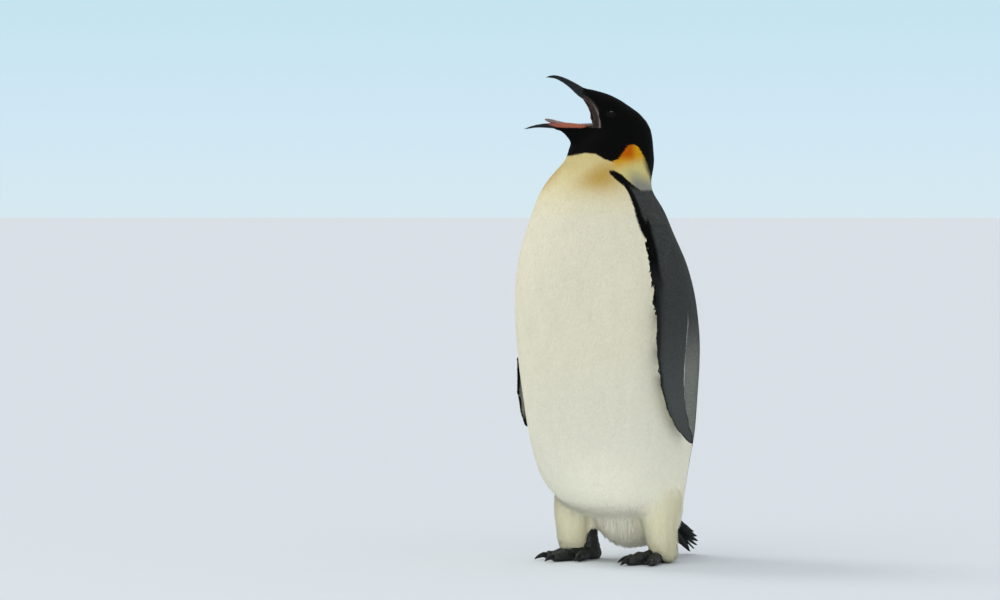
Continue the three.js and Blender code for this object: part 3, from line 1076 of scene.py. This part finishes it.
def shapeFeathers(root, random, values):
    # length, width, lift, lie and colour of each feather
    points = root["point"]
    normals = root["normal"]
    count = len(points)
    vent = ramp(points[:, 2], 0.165, 0.125) * (1 - root["leg"]) * (root["wing"] < 0.5)
    form = np.tile(vaneForms["trunk"], (count, 1)).astype(float)
    for name, share in (("wing", root["wing"]), ("vent", vent), ("leg", ramp(root["leg"], 0.1, 0.9))):
        form = blend(form, np.array(vaneForms[name]), share)
    loose = np.clip(vent + root["leg"], 0, 1)
    flow = flowOf(points, normals, root["owner"], root["leg"])
    across = np.cross(flow, normals)
    turn = random.normal(0, 1, count) * (values["turn"] + values["looseTurn"] * loose)
    root["flow"] = unit(flow + across * turn[:, None])
    root["across"] = np.cross(root["flow"], normals)
    root["length"] = root["size"] * form[:, 0] * random.uniform(*values["lengths"], count)
    root["width"] = root["size"] * form[:, 1] * random.uniform(*values["widths"], count)
    root["lift"] = root["length"] * form[:, 2] * random.uniform(*values["lifts"], count)
    # the underside is shaggy: its feathers stand off and hang
    under = vent * ramp(-normals[:, 2], 0.0, 0.6)
    root["lift"] += root["length"] * under * random.uniform(*values["underLifts"], count)
    # the legs flare at the back above the feet
    flare = ramp(outwardOf(points, normals) + normals[:, 1], 0.1, 1.0)
    flare *= root["leg"] * ramp(points[:, 2], 0.15, 0.06)
    root["lift"] += root["length"] * flare * random.uniform(*values["flareLifts"], count)
    ragged = under + root["leg"] * ramp(points[:, 2], 0.07, 0.03)
    root["length"] *= 1 + np.clip(ragged, 0, 1) * random.uniform(*values["raggedEnds"], count)
    root["taper"] = 0.75 * loose
    root["vent"] = vent
    # each vane takes the colours of the places under its middle and its tip
    stray = random.normal(0, values["stray"], points.shape)
    outward = outwardOf(points, normals)
    reach = root["flow"] * root["length"][:, None]
    colourPlace = points + reach * values["colourAt"] + stray
    tipPlace = points + reach * values["tipColourAt"] + stray
    colour, _ = markings(colourPlace, root["owner"], outward, root["leg"])
    _, tip = markings(tipPlace, root["owner"], outward, root["leg"])
    shade = random.normal(1, values["shade"], count)
    root["colour"] = colour * shade[:, None]
    root["tip"] = tip * shade[:, None]
    return root


def bendToSkin(root):
    # how far the tip of each vane moves to lie over the skin, and which way the skin faces there
    tree = BVHTree.FromPolygons(skinPoints.tolist(), skinTriangles.tolist(), all_triangles=True)
    lift = root["lift"][:, None]
    ends = root["point"] + root["flow"] * root["length"][:, None]
    found = [tree.find_nearest(Vector(end)) for end in ends]
    place = np.array([hit[0] for hit in found])
    normal = unit(skinNormals[skinTriangles[[hit[2] for hit in found]]].mean(1))
    bend = place + normal * lift - ends - root["normal"] * lift
    size = np.linalg.norm(bend, axis=1)
    # the lowest feathers of the legs and the vent hang free
    height = root["point"][:, 2]
    hang = root["leg"] * ramp(height, 0.060, 0.025) + root["vent"] * ramp(height, 0.085, 0.060)
    bend *= (1 - 0.85 * np.clip(hang, 0, 1))[:, None]
    return bend * np.minimum(1, 0.45 * root["length"] / np.maximum(size, 1e-9))[:, None], normal


def addLayout(mesh, name, flat, triangles):
    layer = mesh.uv_layers.new(name=name)
    layer.data.foreach_set("uv", flat[triangles.ravel()].astype(np.float32).ravel())


def vanePoints(root):
    # a vane bent outwards stays flat, one bent inwards curves
    curved = np.where(np.sum(root["bend"] * root["normal"], 1) > 0, 1.0, 2.0)[:, None]
    height = -coatForm["sink"] * root["size"][:, None] + root["lift"][:, None] * alongShare ** 0.9
    height = height + root["width"][:, None] * 0.07 * raised
    narrow = 1 - root["taper"][:, None] * alongShare ** 1.5
    body = (
        root["point"][:, None]
        + root["across"][:, None] * (root["width"][:, None] * acrossShare * narrow)[..., None]
        + root["flow"][:, None] * (root["length"][:, None] * alongShare)[..., None]
        + root["normal"][:, None] * height[..., None]
        + root["bend"][:, None] * (alongShare[None] ** curved)[..., None]
    )
    body[..., 2] = np.maximum(body[..., 2], 0.0008)
    return body


def vaneColours(root):
    # painted shade darkens each vane towards its root, where it lies under others; the tip takes its own
    # paler colour
    bright = ramp(root["colour"].mean(1), 0.02, 0.3)[:, None, None]
    # painted shade: the root is darker, down to 0.62 of the colour on dark feathers and 0.92 on pale ones
    dark = (0.62 + 0.30 * bright) + (0.38 - 0.30 * bright) * ramp(alongShare, 0, 0.7)[None, :, None]
    tone = root["colour"][:, None] * dark
    return tone + (root["tip"] - root["colour"])[:, None] * ramp(alongShare, 0.62, 0.95)[None, :, None]


def vanes(name, root):
    # one piece of the coat
    total = len(root["point"])
    upperFaces = [(i, (i + 1) % vaneCount, vaneCount) for i in range(vaneCount)]
    lowerFaces = [(0, i + 1, i) for i in range(1, vaneCount - 1)]
    faces = np.array(upperFaces + lowerFaces)
    start = np.arange(total) * (vaneCount + 1)
    triangles = (faces[None] + start[:, None, None]).reshape(-1, 3)
    mesh = bpy.data.meshes.new(name)
    mesh.vertices.add(total * (vaneCount + 1))
    mesh.vertices.foreach_set("co", vanePoints(root).astype(np.float32).ravel())
    mesh.loops.add(triangles.size)
    mesh.loops.foreach_set("vertex_index", triangles.astype(np.int32).ravel())
    mesh.polygons.add(len(triangles))
    mesh.polygons.foreach_set("loop_start", np.arange(0, triangles.size, 3, dtype=np.int32))
    mesh.update(calc_edges=True)
    mesh.polygons.foreach_set("use_smooth", np.ones(len(triangles), bool))
    # shaded between each vane's own roundness and the skin below it
    own = meshNormals(mesh).reshape(total, -1, 3)
    soft = coatForm["softness"]
    share = alongShare[None, :, None]
    below = root["normal"][:, None] * (1 - share) + root["endNormal"][:, None] * share
    shading = unit((own * (1 - soft) + below * soft).reshape(-1, 3))
    addAttribute(mesh, "custom_normal", "FLOAT_VECTOR", "vector", shading)
    paint(mesh, vaneColours(root).reshape(-1, 3))
    # one small patch of the skin's layout for each vane, and the vane's own layout for its barbs
    patch = np.column_stack([acrossShare, alongShare - 0.5]) * coatForm["bakePatch"]
    addLayout(mesh, "OFBake", (root["bake"][:, None] + patch[None]).reshape(-1, 2), triangles)
    ownLayout = np.tile(np.column_stack([acrossShare + 0.5, alongShare]), (total, 1))
    addLayout(mesh, "vane", ownLayout, triangles)
    mesh.uv_layers.active = mesh.uv_layers["OFBake"]
    piece = bpy.data.objects.new(name, mesh)
    bpy.context.scene.collection.objects.link(piece)
    return piece


def growCoat():
    random = np.random.default_rng(coatForm["seed"])
    root = shapeFeathers(growPlaces(random), random, coatForm)
    ends = root["point"] + root["flow"] * root["length"][:, None]
    clear = ~overEye(ends, 0.0070)
    root = {key: values[clear] for key, values in root.items()}
    root["bend"], root["endNormal"] = bendToSkin(root)
    total = len(root["point"])
    count = int(np.ceil(total / coatForm["perPiece"]))
    print("coat", total, "feathers in", count, "pieces")
    return [
        vanes("coat_%d" % (piece + 1), {key: values[piece::count] for key, values in root.items()})
        for piece in range(count)
    ]


def startGroup(name, inputs, outputs):
    group = bpy.data.node_groups.new(name, "ShaderNodeTree")
    for label, kind, value in inputs:
        socket = group.interface.new_socket(label, in_out="INPUT", socket_type="NodeSocket" + kind)
        if value is not None:
            socket.default_value = value
    for label, kind in outputs:
        group.interface.new_socket(label, in_out="OUTPUT", socket_type="NodeSocket" + kind)
    return group, group.nodes.new("NodeGroupInput"), group.nodes.new("NodeGroupOutput")


def feed(tree, socket, value):
    # joins the socket to another one, or gives it a plain value
    if isinstance(value, bpy.types.NodeSocket):
        tree.links.new(value, socket)
    else:
        socket.default_value = value


def mathNode(tree, operation, *values):
    node = tree.nodes.new("ShaderNodeMath")
    node.operation = operation
    for index, value in enumerate(values):
        feed(tree, node.inputs[index], value)
    return node.outputs["Value"]


def scaleAndAdd(tree, value, factor, plus):
    return mathNode(tree, "ADD", mathNode(tree, "MULTIPLY", value, factor), plus)


def barbGroup():
    # slanted barbs on both sides of a shaft, on a layout that is across and along a feather
    group, given, put = startGroup(
        "feather barbs",
        [
            ("Layout", "Vector", None),
            ("Barbs", "Float", 9.0),
            ("Slant", "Float", 0.6),
            ("Shaft Width", "Float", 0.04),
        ],
        [("Barbs", "Float"), ("Shaft", "Float")],
    )
    split = group.nodes.new("ShaderNodeSeparateXYZ")
    group.links.new(given.outputs["Layout"], split.inputs["Vector"])
    off = mathNode(group, "ABSOLUTE", mathNode(group, "SUBTRACT", split.outputs["X"], 0.5))
    slant = mathNode(group, "MULTIPLY", off, given.outputs["Slant"])
    along = mathNode(group, "SUBTRACT", split.outputs["Y"], slant)
    along = mathNode(group, "MULTIPLY", along, given.outputs["Barbs"])
    wave = mathNode(group, "SINE", mathNode(group, "MULTIPLY", along, 6.2832))
    group.links.new(scaleAndAdd(group, wave, 0.5, 0.5), put.inputs["Barbs"])
    group.links.new(mathNode(group, "LESS_THAN", off, given.outputs["Shaft Width"]), put.inputs["Shaft"])
    return group


def grainGroup():
    # fine irregular grain on the object's own coordinates
    group, given, put = startGroup(
        "grain",
        [
            ("Stretch", "Vector", (1, 1, 1)),
            ("Scale", "Float", 60.0),
            ("Low", "Float", 0.35),
            ("High", "Float", 0.65),
        ],
        [("Grain", "Float")],
    )
    place = group.nodes.new("ShaderNodeTexCoord")
    stretch = group.nodes.new("ShaderNodeVectorMath")
    stretch.operation = "MULTIPLY"
    group.links.new(place.outputs["Object"], stretch.inputs[0])
    group.links.new(given.outputs["Stretch"], stretch.inputs[1])
    noise = group.nodes.new("ShaderNodeTexNoise")
    noise.inputs["Detail"].default_value = 4
    group.links.new(stretch.outputs["Vector"], noise.inputs["Vector"])
    group.links.new(given.outputs["Scale"], noise.inputs["Scale"])
    fit = group.nodes.new("ShaderNodeMapRange")
    group.links.new(noise.outputs["Fac"], fit.inputs["Value"])
    group.links.new(given.outputs["Low"], fit.inputs["From Min"])
    group.links.new(given.outputs["High"], fit.inputs["From Max"])
    group.links.new(fit.outputs["Result"], put.inputs["Grain"])
    return group


barbs = barbGroup()
grain = grainGroup()


def placeGroup(tree, group, **values):
    node = tree.nodes.new("ShaderNodeGroup")
    node.node_tree = group
    for label, value in values.items():
        node.inputs[label.replace("_", " ")].default_value = value
    return node


def mixColours(tree, first, second, factor):
    mix = tree.nodes.new("ShaderNodeMix")
    mix.data_type = "RGBA"
    for label, value in (("A", first), ("B", second), ("Factor", factor)):
        feed(tree, mix.inputs[label], value)
    return mix.outputs["Result"]


def addBump(tree, shader, height, strength, distance):
    bump = tree.nodes.new("ShaderNodeBump")
    bump.inputs["Strength"].default_value = strength
    bump.inputs["Distance"].default_value = distance
    tree.links.new(height, bump.inputs["Height"])
    tree.links.new(bump.outputs["Normal"], shader.inputs["Normal"])


def readAttribute(tree, name):
    node = tree.nodes.new("ShaderNodeAttribute")
    node.attribute_name = name
    return node


def useMarkings(tree, shader, tone):
    # the painted colours, lighter and darker by the tone
    node = tree.nodes.new("ShaderNodeVectorMath")
    node.operation = "SCALE"
    tree.links.new(readAttribute(tree, "markings").outputs["Color"], node.inputs[0])
    tree.links.new(tone, node.inputs["Scale"])
    tree.links.new(node.outputs["Vector"], shader.inputs["Base Color"])


def barbRows(tree, **values):
    # barbs on the vanes' own layout
    layout = tree.nodes.new("ShaderNodeUVMap")
    layout.uv_map = "vane"
    rows = placeGroup(tree, barbs, **values)
    tree.links.new(layout.outputs["UV"], rows.inputs["Layout"])
    return rows


def plumageMaterial():
    material, tree, shader = startMaterial("plumage", roughness=0.78, specular=0.06)
    rows = barbRows(tree, Barbs=8.0, Slant=0.5, Shaft_Width=0.035)
    clumps = placeGroup(tree, grain, Stretch=(1, 1, 0.28), Scale=42.0, Low=0.3, High=0.7)
    tone = scaleAndAdd(tree, clumps.outputs["Grain"], 0.035, 0.975)
    tone = scaleAndAdd(tree, rows.outputs["Barbs"], -0.035, tone)
    useMarkings(tree, shader, scaleAndAdd(tree, rows.outputs["Shaft"], -0.04, tone))
    return material


def skinMaterial():
    material, tree, shader = startMaterial("skin", specular=0.14)
    moist = readAttribute(tree, "shine").outputs["Fac"]
    tree.links.new(scaleAndAdd(tree, moist, -0.44, 0.68), shader.inputs["Roughness"])
    pores = placeGroup(tree, grain, Scale=420.0)
    useMarkings(tree, shader, scaleAndAdd(tree, pores.outputs["Grain"], 0.10, 0.92))
    addBump(tree, shader, pores.outputs["Grain"], 0.3, 0.0004)
    return material


def hornMaterial(name, values):
    # horn with fine grain along it
    material, tree, shader = startMaterial(name, values["roughness"], specular=0.22, coat=values["coat"])
    streaks = placeGroup(tree, grain, Stretch=values["stretch"], Scale=values["scale"])
    colour = mixColours(tree, solid(values["dark"]), solid(values["light"]), streaks.outputs["Grain"])
    tree.links.new(colour, shader.inputs["Base Color"])
    addBump(tree, shader, streaks.outputs["Grain"], 0.25, 0.0003)
    return material


def fineCopy(name, nodes, voxel, rounds):
    # what bill, tongue, feet and claws are shaped from
    piece = copyNodes(name, nodes)
    applyModifier(piece, "REMESH", mode="VOXEL", voxel_size=voxel)
    points = meshPoints(piece.data)
    setPoints(piece.data, relax(points, meshEdges(piece.data), np.ones(len(points)), rounds, keepSize=True))
    piece.data.shade_smooth()
    return piece


def aheadTable(points):
    # middle and half-height of a bill at each reach ahead
    ahead, _, height = headPlace(points)
    return slabTable(ahead, height[:, None], 0.004)


billForm = {
    "voxel": 0.0010,
    "rounds": 30,
    "grooveDepth": 0.0007,
    "grooveWidth": 0.16,  # of the bill's half-height
    "upperGroove": -0.05,  # how far over the bill's middle line
    "lowerGroove": 0.15,
}


def restoreReach(piece, node):
    # the smoothing rounds the end off, so the last stretch grows back to the solid's reach
    full = headPlace(meshPoints(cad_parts[node].data))[0]
    points = meshPoints(piece.data)
    ahead = headPlace(points)[0]
    lost = full.max() - ahead.max()
    setPoints(piece.data, points + np.outer(lost * shareOf(ahead) ** 6, aheadAxis))


def fairBill(piece):
    # the bill's middle line and height change evenly along it
    points = meshPoints(piece.data)
    table = aheadTable(points)
    ahead, _, height = headPlace(points)
    even = table.copy()
    for column in (1, 2):
        padded = np.pad(table[:, column], 3, mode="reflect", reflect_type="odd")
        even[:, column] = np.convolve(padded, np.array([1, 2, 3, 4, 3, 2, 1]) / 16, mode="valid")
    middleUp, half = [fromTable(table, ahead, column) for column in (1, 2)]
    evenUp, evenHalf = [fromTable(even, ahead, column) for column in (1, 2)]
    points[:, 2] += evenUp - middleUp + (height - middleUp) * (np.clip(evenHalf / half, 0.7, 1.4) - 1)
    setPoints(piece.data, points)


def makeBill(name, node, line):
    piece = fineCopy(name, [node], billForm["voxel"], billForm["rounds"])
    restoreReach(piece, node)
    fairBill(piece)
    points = meshPoints(piece.data)
    normals = meshNormals(piece.data)
    table = aheadTable(points)
    ahead, _, height = headPlace(points)
    level = (height - fromTable(table, ahead)) / fromTable(table, ahead, 2)
    share = shareOf(ahead)
    groove = nearBand(level - line, billForm["grooveWidth"])
    groove *= ramp(share, 0.10, 0.24) * ramp(share, 0.86, 0.70)
    groove *= ramp(np.abs(normals @ sideAxis), 0.45, 0.8)
    setPoints(piece.data, points - normals * (groove * billForm["grooveDepth"])[:, None])
    return piece


def plateMaterial():
    # salmon orange, plum towards the tip and along the lower edge
    material, tree, shader = startMaterial("plate horn", roughness=0.34, specular=0.45, coat=0.25)
    fine = placeGroup(tree, grain, Scale=260.0)
    useMarkings(tree, shader, scaleAndAdd(tree, fine.outputs["Grain"], 0.16, 0.88))
    addBump(tree, shader, fine.outputs["Grain"], 0.2, 0.0003)
    return material


plateForm = {
    "root": "b55f38",
    "tip": "a05247",
    "lowEdge": "7c4048",
    "sharpFrom": 50,  # degrees between faces
}


def makePlate(name, node, values):
    piece = copyNodes(name, [node])
    points = meshPoints(piece.data)
    reach = shareOf(headPlace(points)[0])
    rise = shareOf(points[:, 2])
    colour = filled(len(points), tint(values["root"]))
    colour = blend(colour, tint(values["tip"]), ramp(reach, 0.45, 0.95))
    colour = blend(colour, tint(values["lowEdge"]), ramp(rise, 0.30, 0.05) * 0.7)
    paint(piece.data, colour)
    makeActive(piece)
    bpy.ops.object.shade_smooth_by_angle(angle=math.radians(values["sharpFrom"]))
    return piece


tongueForm = {
    "voxel": 0.0009,
    "rounds": 6,
    "tipSwell": 0.0019,
    "papilla": 0.0007,
    "papillaLength": 0.0017,
    "rows": 13,
    "perRow": 3,
    "columnGap": 0.0028,
    "rowsFrom": 0.28,  # of the tongue's length
    "rowsOver": 0.62,
}


def makeTongue(values):
    # moist tongue with rows of small spines that point back
    tongue = fineCopy("tongue_skin", ["tongue"], values["voxel"], values["rounds"])
    restoreReach(tongue, "tongue")
    points = meshPoints(tongue.data)
    swell = values["tipSwell"] * ramp(headPlace(points)[0], 0.07, 0.12)
    points = points + meshNormals(tongue.data) * swell[:, None]
    setPoints(tongue.data, points)
    ahead = headPlace(points)[0]
    tree = BVHTree.FromObject(tongue, bpy.context.evaluated_depsgraph_get())
    spines = []
    for row in range(values["rows"]):
        along = values["rowsFrom"] + values["rowsOver"] * row / values["rows"]
        reach = ahead.min() + (ahead.max() - ahead.min()) * along
        gap = values["columnGap"] * (1 - 0.45 * row / values["rows"])
        for column in range(values["perRow"]):
            side = (column - (values["perRow"] - 1) / 2) * gap
            above = eyeMiddle + headAhead * reach + headSide * side + up * 0.03
            found, normal, _, _ = tree.ray_cast(above, -up)
            if found is None:
                continue
            lean = (normal * 0.8 - headAhead).normalized()
            spine = newPrimitive(
                bpy.ops.mesh.primitive_cone_add,
                vertices=8,
                radius1=values["papilla"],
                radius2=0.0001,
                depth=values["papillaLength"],
                location=found + lean * values["papillaLength"] * 0.35,
                rotation=lean.to_track_quat("Z", "Y").to_euler(),
            )
            spine.data.shade_smooth()
            spines.append(spine)
    return joinPieces("tongue_skin", [tongue, *spines])


footForm = {
    "voxel": 0.0019,
    "rounds": 3,
    "scale": 0.0052,  # how far apart the scales are
    "crease": 0.00055,
    "creaseWidth": 0.0011,
    "seed": 11,
    "swell": 0.0016,
    "ankleCreases": (0.030, 0.043, 0.058),  # heights
    "ankleWave": 0.0022,
    "ankleDepth": 0.0013,
    "skin": "262927",
    "scaleTop": "363a36",
}
clawForm = {"voxel": 0.0009, "rounds": 20}


def scaleGaps(points, values):
    # how much nearer each point is to the middle of its own scale than to the next one's
    random = np.random.default_rng(values["seed"])
    spacing = np.full(len(points), values["scale"])
    seeds = thinOut(points, spacing, random.permutation(len(points)))
    cells = KDTree(len(seeds))
    for index, seed in enumerate(seeds):
        cells.insert(points[seed], index)
    cells.balance()
    gaps = np.empty(len(points))
    for index, point in enumerate(points):
        near = cells.find_n(point, 2)
        gaps[index] = near[1][2] - near[0][2]
    return gaps


def makeFoot(name, node, values):
    # scaly skin: raised cells with creases between them
    piece = fineCopy(name, [node], values["voxel"], values["rounds"])
    points = meshPoints(piece.data)
    normals = meshNormals(piece.data)
    gaps = scaleGaps(points, values)
    dent = nearBand(gaps, values["creaseWidth"]) * ramp(points[:, 2], 0.002, 0.006)
    swell = values["swell"] * ramp(points[:, 2], 0.003, 0.010)
    points = points + normals * (swell - dent * values["crease"])[:, None]
    steep = ramp(np.abs(normals[:, 2]), 0.75, 0.45)
    for height in values["ankleCreases"]:
        wavy = height + values["ankleWave"] * np.sin(points[:, 0] * 130)
        fold = nearBand(points[:, 2] - wavy, 0.0016) * steep
        points = points - normals * (fold * values["ankleDepth"])[:, None]
        dent = np.maximum(dent, 0.7 * fold)
    points[:, 2] = np.maximum(points[:, 2], 0)
    setPoints(piece.data, points)
    tone = np.outer(1 - 0.55 * dent, tint(values["skin"]))
    paint(piece.data, blend(tone, tint(values["scaleTop"]), ramp(gaps, 0.0015, 0.0045) * 0.6))
    return piece


def footMaterial():
    material, tree, shader = startMaterial("foot skin", roughness=0.55, specular=0.35)
    fine = placeGroup(tree, grain, Scale=330.0)
    useMarkings(tree, shader, scaleAndAdd(tree, fine.outputs["Grain"], 0.3, 0.8))
    addBump(tree, shader, fine.outputs["Grain"], 0.35, 0.0005)
    return material


eyeForm = {"radius": 0.0093, "bulge": 0.0007, "pupil": 0.0027, "iris": 0.0062}


def makeEye(name, centre, side):
    # an eyeball with a raised cornea; "fromPupil" is each point's distance from the line of sight
    ball = {"segments": 48, "ring_count": 32, "radius": eyeForm["radius"], "location": centre}
    eye = newPrimitive(bpy.ops.mesh.primitive_uv_sphere_add, **ball)
    eye.name = name
    eye.data.name = name
    outward = sideAxis * side
    offset = meshPoints(eye.data) - np.array(centre)
    out = offset @ outward
    reach = np.linalg.norm(offset - out[:, None] * outward, axis=1)
    bulge = eyeForm["bulge"] * ramp(reach, eyeForm["iris"] + 0.001, 0.002) * (out > 0)
    setPoints(eye.data, np.array(centre) + offset + bulge[:, None] * outward)
    addAttribute(eye.data, "fromPupil", "FLOAT", "value", np.where(out > 0, reach, 0.02))
    eye.data.shade_smooth()
    return eye


def eyeMaterial():
    material, tree, shader = startMaterial("eye", roughness=0.04, specular=0.09)
    distance = readAttribute(tree, "fromPupil")
    rings = tree.nodes.new("ShaderNodeValToRGB")
    reach = 0.01  # the ramp's full length, from the line of sight
    stops = (
        (0, "050505"), (eyeForm["pupil"] - 0.0003, "050505"), (eyeForm["pupil"], "1d120a"),
        (eyeForm["iris"] - 0.001, "1a100a"), (eyeForm["iris"], "0c0806"),
    )
    setStops(rings, [(place / reach, colour) for place, colour in stops])
    tree.links.new(mathNode(tree, "DIVIDE", distance.outputs["Fac"], reach), rings.inputs["Fac"])
    tree.links.new(rings.outputs["Color"], shader.inputs["Base Color"])
    return material


tailForm = {
    "blades": 13,
    "spread": 54,  # degrees across the fan
    "roll": 48,  # how far the feathers off the middle turn on their shafts
    "reach": 0.139,
    "shorter": 0.268,  # the feathers shorten by this times the square of their share of the fan
    "droop": 42,
    "level": 43,
    "halfWidth": 0.0142,
    "thick": 0.0012,
    "shaft": 0.0011,
    "root": (0, 0.196, 0.096),  # from the bird's axis
    "dark": "0b0c0d",
    "light": "191b1c",
    "shaftColour": "2b2b2e",
}


def makeBlade(name, share, values):
    # one stiff feather: a pointed vane on a raised shaft
    reach = values["reach"] - values["shorter"] * share ** 2
    droop = math.radians(values["droop"] - values["level"] * abs(share))
    turn = Matrix.Rotation(math.radians(share * values["spread"]), 3, "Z")
    outwards = turn @ Vector((0, math.cos(droop), -math.sin(droop)))
    twist = max(-1, min(1, share * 5)) * values["roll"]
    roll = Matrix.Rotation(math.radians(-twist), 3, outwards)
    sideways = roll @ turn @ Vector((1, 0, 0))
    upwards = sideways.cross(outwards)
    root = birdAxis + Vector(values["root"]) - up * 0.006 * abs(share)
    blade = newPrimitive(bpy.ops.mesh.primitive_grid_add, x_subdivisions=12, y_subdivisions=30, size=1)
    blade.name = name
    flat = meshPoints(blade.data)
    across = flat[:, 0] * 2
    along = flat[:, 1] + 0.5
    point = np.clip((along - 0.62) / 0.38, 0, 1) ** 2.2
    width = values["halfWidth"] * ramp(along, -0.05, 0.30) * (1 - 0.93 * point)
    slant = 0.006 * np.abs(across) * ramp(along, 0.5, 1.0)
    rise = values["thick"] * 1.6 * (1 - across ** 2) - 0.0008 * np.abs(across) + 0.003 * np.sin(along * 2.4)
    moves = ((across * width, sideways), (along * reach - slant * 0.6, outwards), (rise, upwards))
    setPoints(blade.data, np.array(root) + sum(np.outer(size, np.array(way)) for size, way in moves))
    blade.data.uv_layers.active.name = "vane"
    applyModifier(blade, "SOLIDIFY", thickness=values["thick"], offset=0)
    middleOf = root + outwards * reach * 0.46 + upwards * (values["thick"] * 2.0 + 0.0022)
    shaft = newPrimitive(
        bpy.ops.mesh.primitive_cone_add,
        vertices=10,
        radius1=values["shaft"],
        radius2=values["shaft"] * 0.3,
        depth=reach * 0.86,
        location=middleOf,
        rotation=outwards.to_track_quat("Z", "Y").to_euler(),
    )
    shaft.data.uv_layers.active.name = "vane"
    joined = joinPieces(name, [blade, shaft])
    joined.data.shade_smooth()
    return joined


def makeTail(values):
    count = values["blades"]
    blades = [makeBlade("blade", index / (count - 1) - 0.5, values) for index in range(count)]
    return joinPieces("tail_fan", blades)


def tailMaterial(values):
    material, tree, shader = startMaterial("tail feathers", roughness=0.5, specular=0.16)
    rows = barbRows(tree, Barbs=70.0, Slant=0.25, Shaft_Width=0.04)
    colour = mixColours(tree, solid(values["dark"]), solid(values["light"]), rows.outputs["Barbs"])
    colour = mixColours(tree, colour, solid(values["shaftColour"]), rows.outputs["Shaft"])
    tree.links.new(colour, shader.inputs["Base Color"])
    addBump(tree, shader, rows.outputs["Barbs"], 0.4, 0.0003)
    return material


# everything is put together
finishPiece(skin, skinMaterial(), flesh)
plumageFinish = plumageMaterial()
for piece in growCoat():
    finishPiece(piece, plumageFinish)
print("coat done")

# horn: its two colours, and how its grain runs
hornForm = {
    "dark": "0a0f11",
    "light": "192326",
    "roughness": 0.34,
    "coat": 0.06,
    "stretch": (1, 1, 3),
    "scale": 90.0,
}
tongueFlesh = {**hornForm, "dark": "745f5b", "light": "9f8b85", "roughness": 0.25, "coat": 0.5}
clawHorn = {**hornForm, "dark": "0a0a0b", "light": "1c1c1f", "scale": 150.0}
darkHorn = hornMaterial("dark horn", hornForm)
for node, line in (("upper_bill", "upperGroove"), ("lower_bill", "lowerGroove")):
    finishPiece(makeBill(node + "_horn", node, billForm[line]), darkHorn, [node])
plateFinish = plateMaterial()
for node in ("bill_plate_right", "bill_plate_left"):
    finishPiece(makePlate(node + "_horn", node, plateForm), plateFinish, [node])
tongueFinish = hornMaterial("tongue flesh", tongueFlesh)
finishPiece(makeTongue(tongueForm), tongueFinish, ["tongue"])
print("bill and tongue")

eyeFinish = eyeMaterial()
for side, centre, sign in (("left", eyeLeft, 1), ("right", eyeRight, -1)):
    finishPiece(makeEye("eyeball_" + side, centre, sign), eyeFinish, ["eye_" + side])
print("eyes")

footFinish = footMaterial()
clawFinish = hornMaterial("claw horn", clawHorn)
for side in ("right", "left"):
    foot = makeFoot("foot_%s_skin" % side, "foot_" + side, footForm)
    finishPiece(foot, footFinish, ["foot_" + side])
    for toe in ("inner", "middle", "outer"):
        node = "claw_%s_%s" % (side, toe)
        finishPiece(fineCopy(node + "_horn", [node], **clawForm), clawFinish, [node])
print("feet and claws")

finishPiece(makeTail(tailForm), tailMaterial(tailForm), ["tail"])
print("tail")
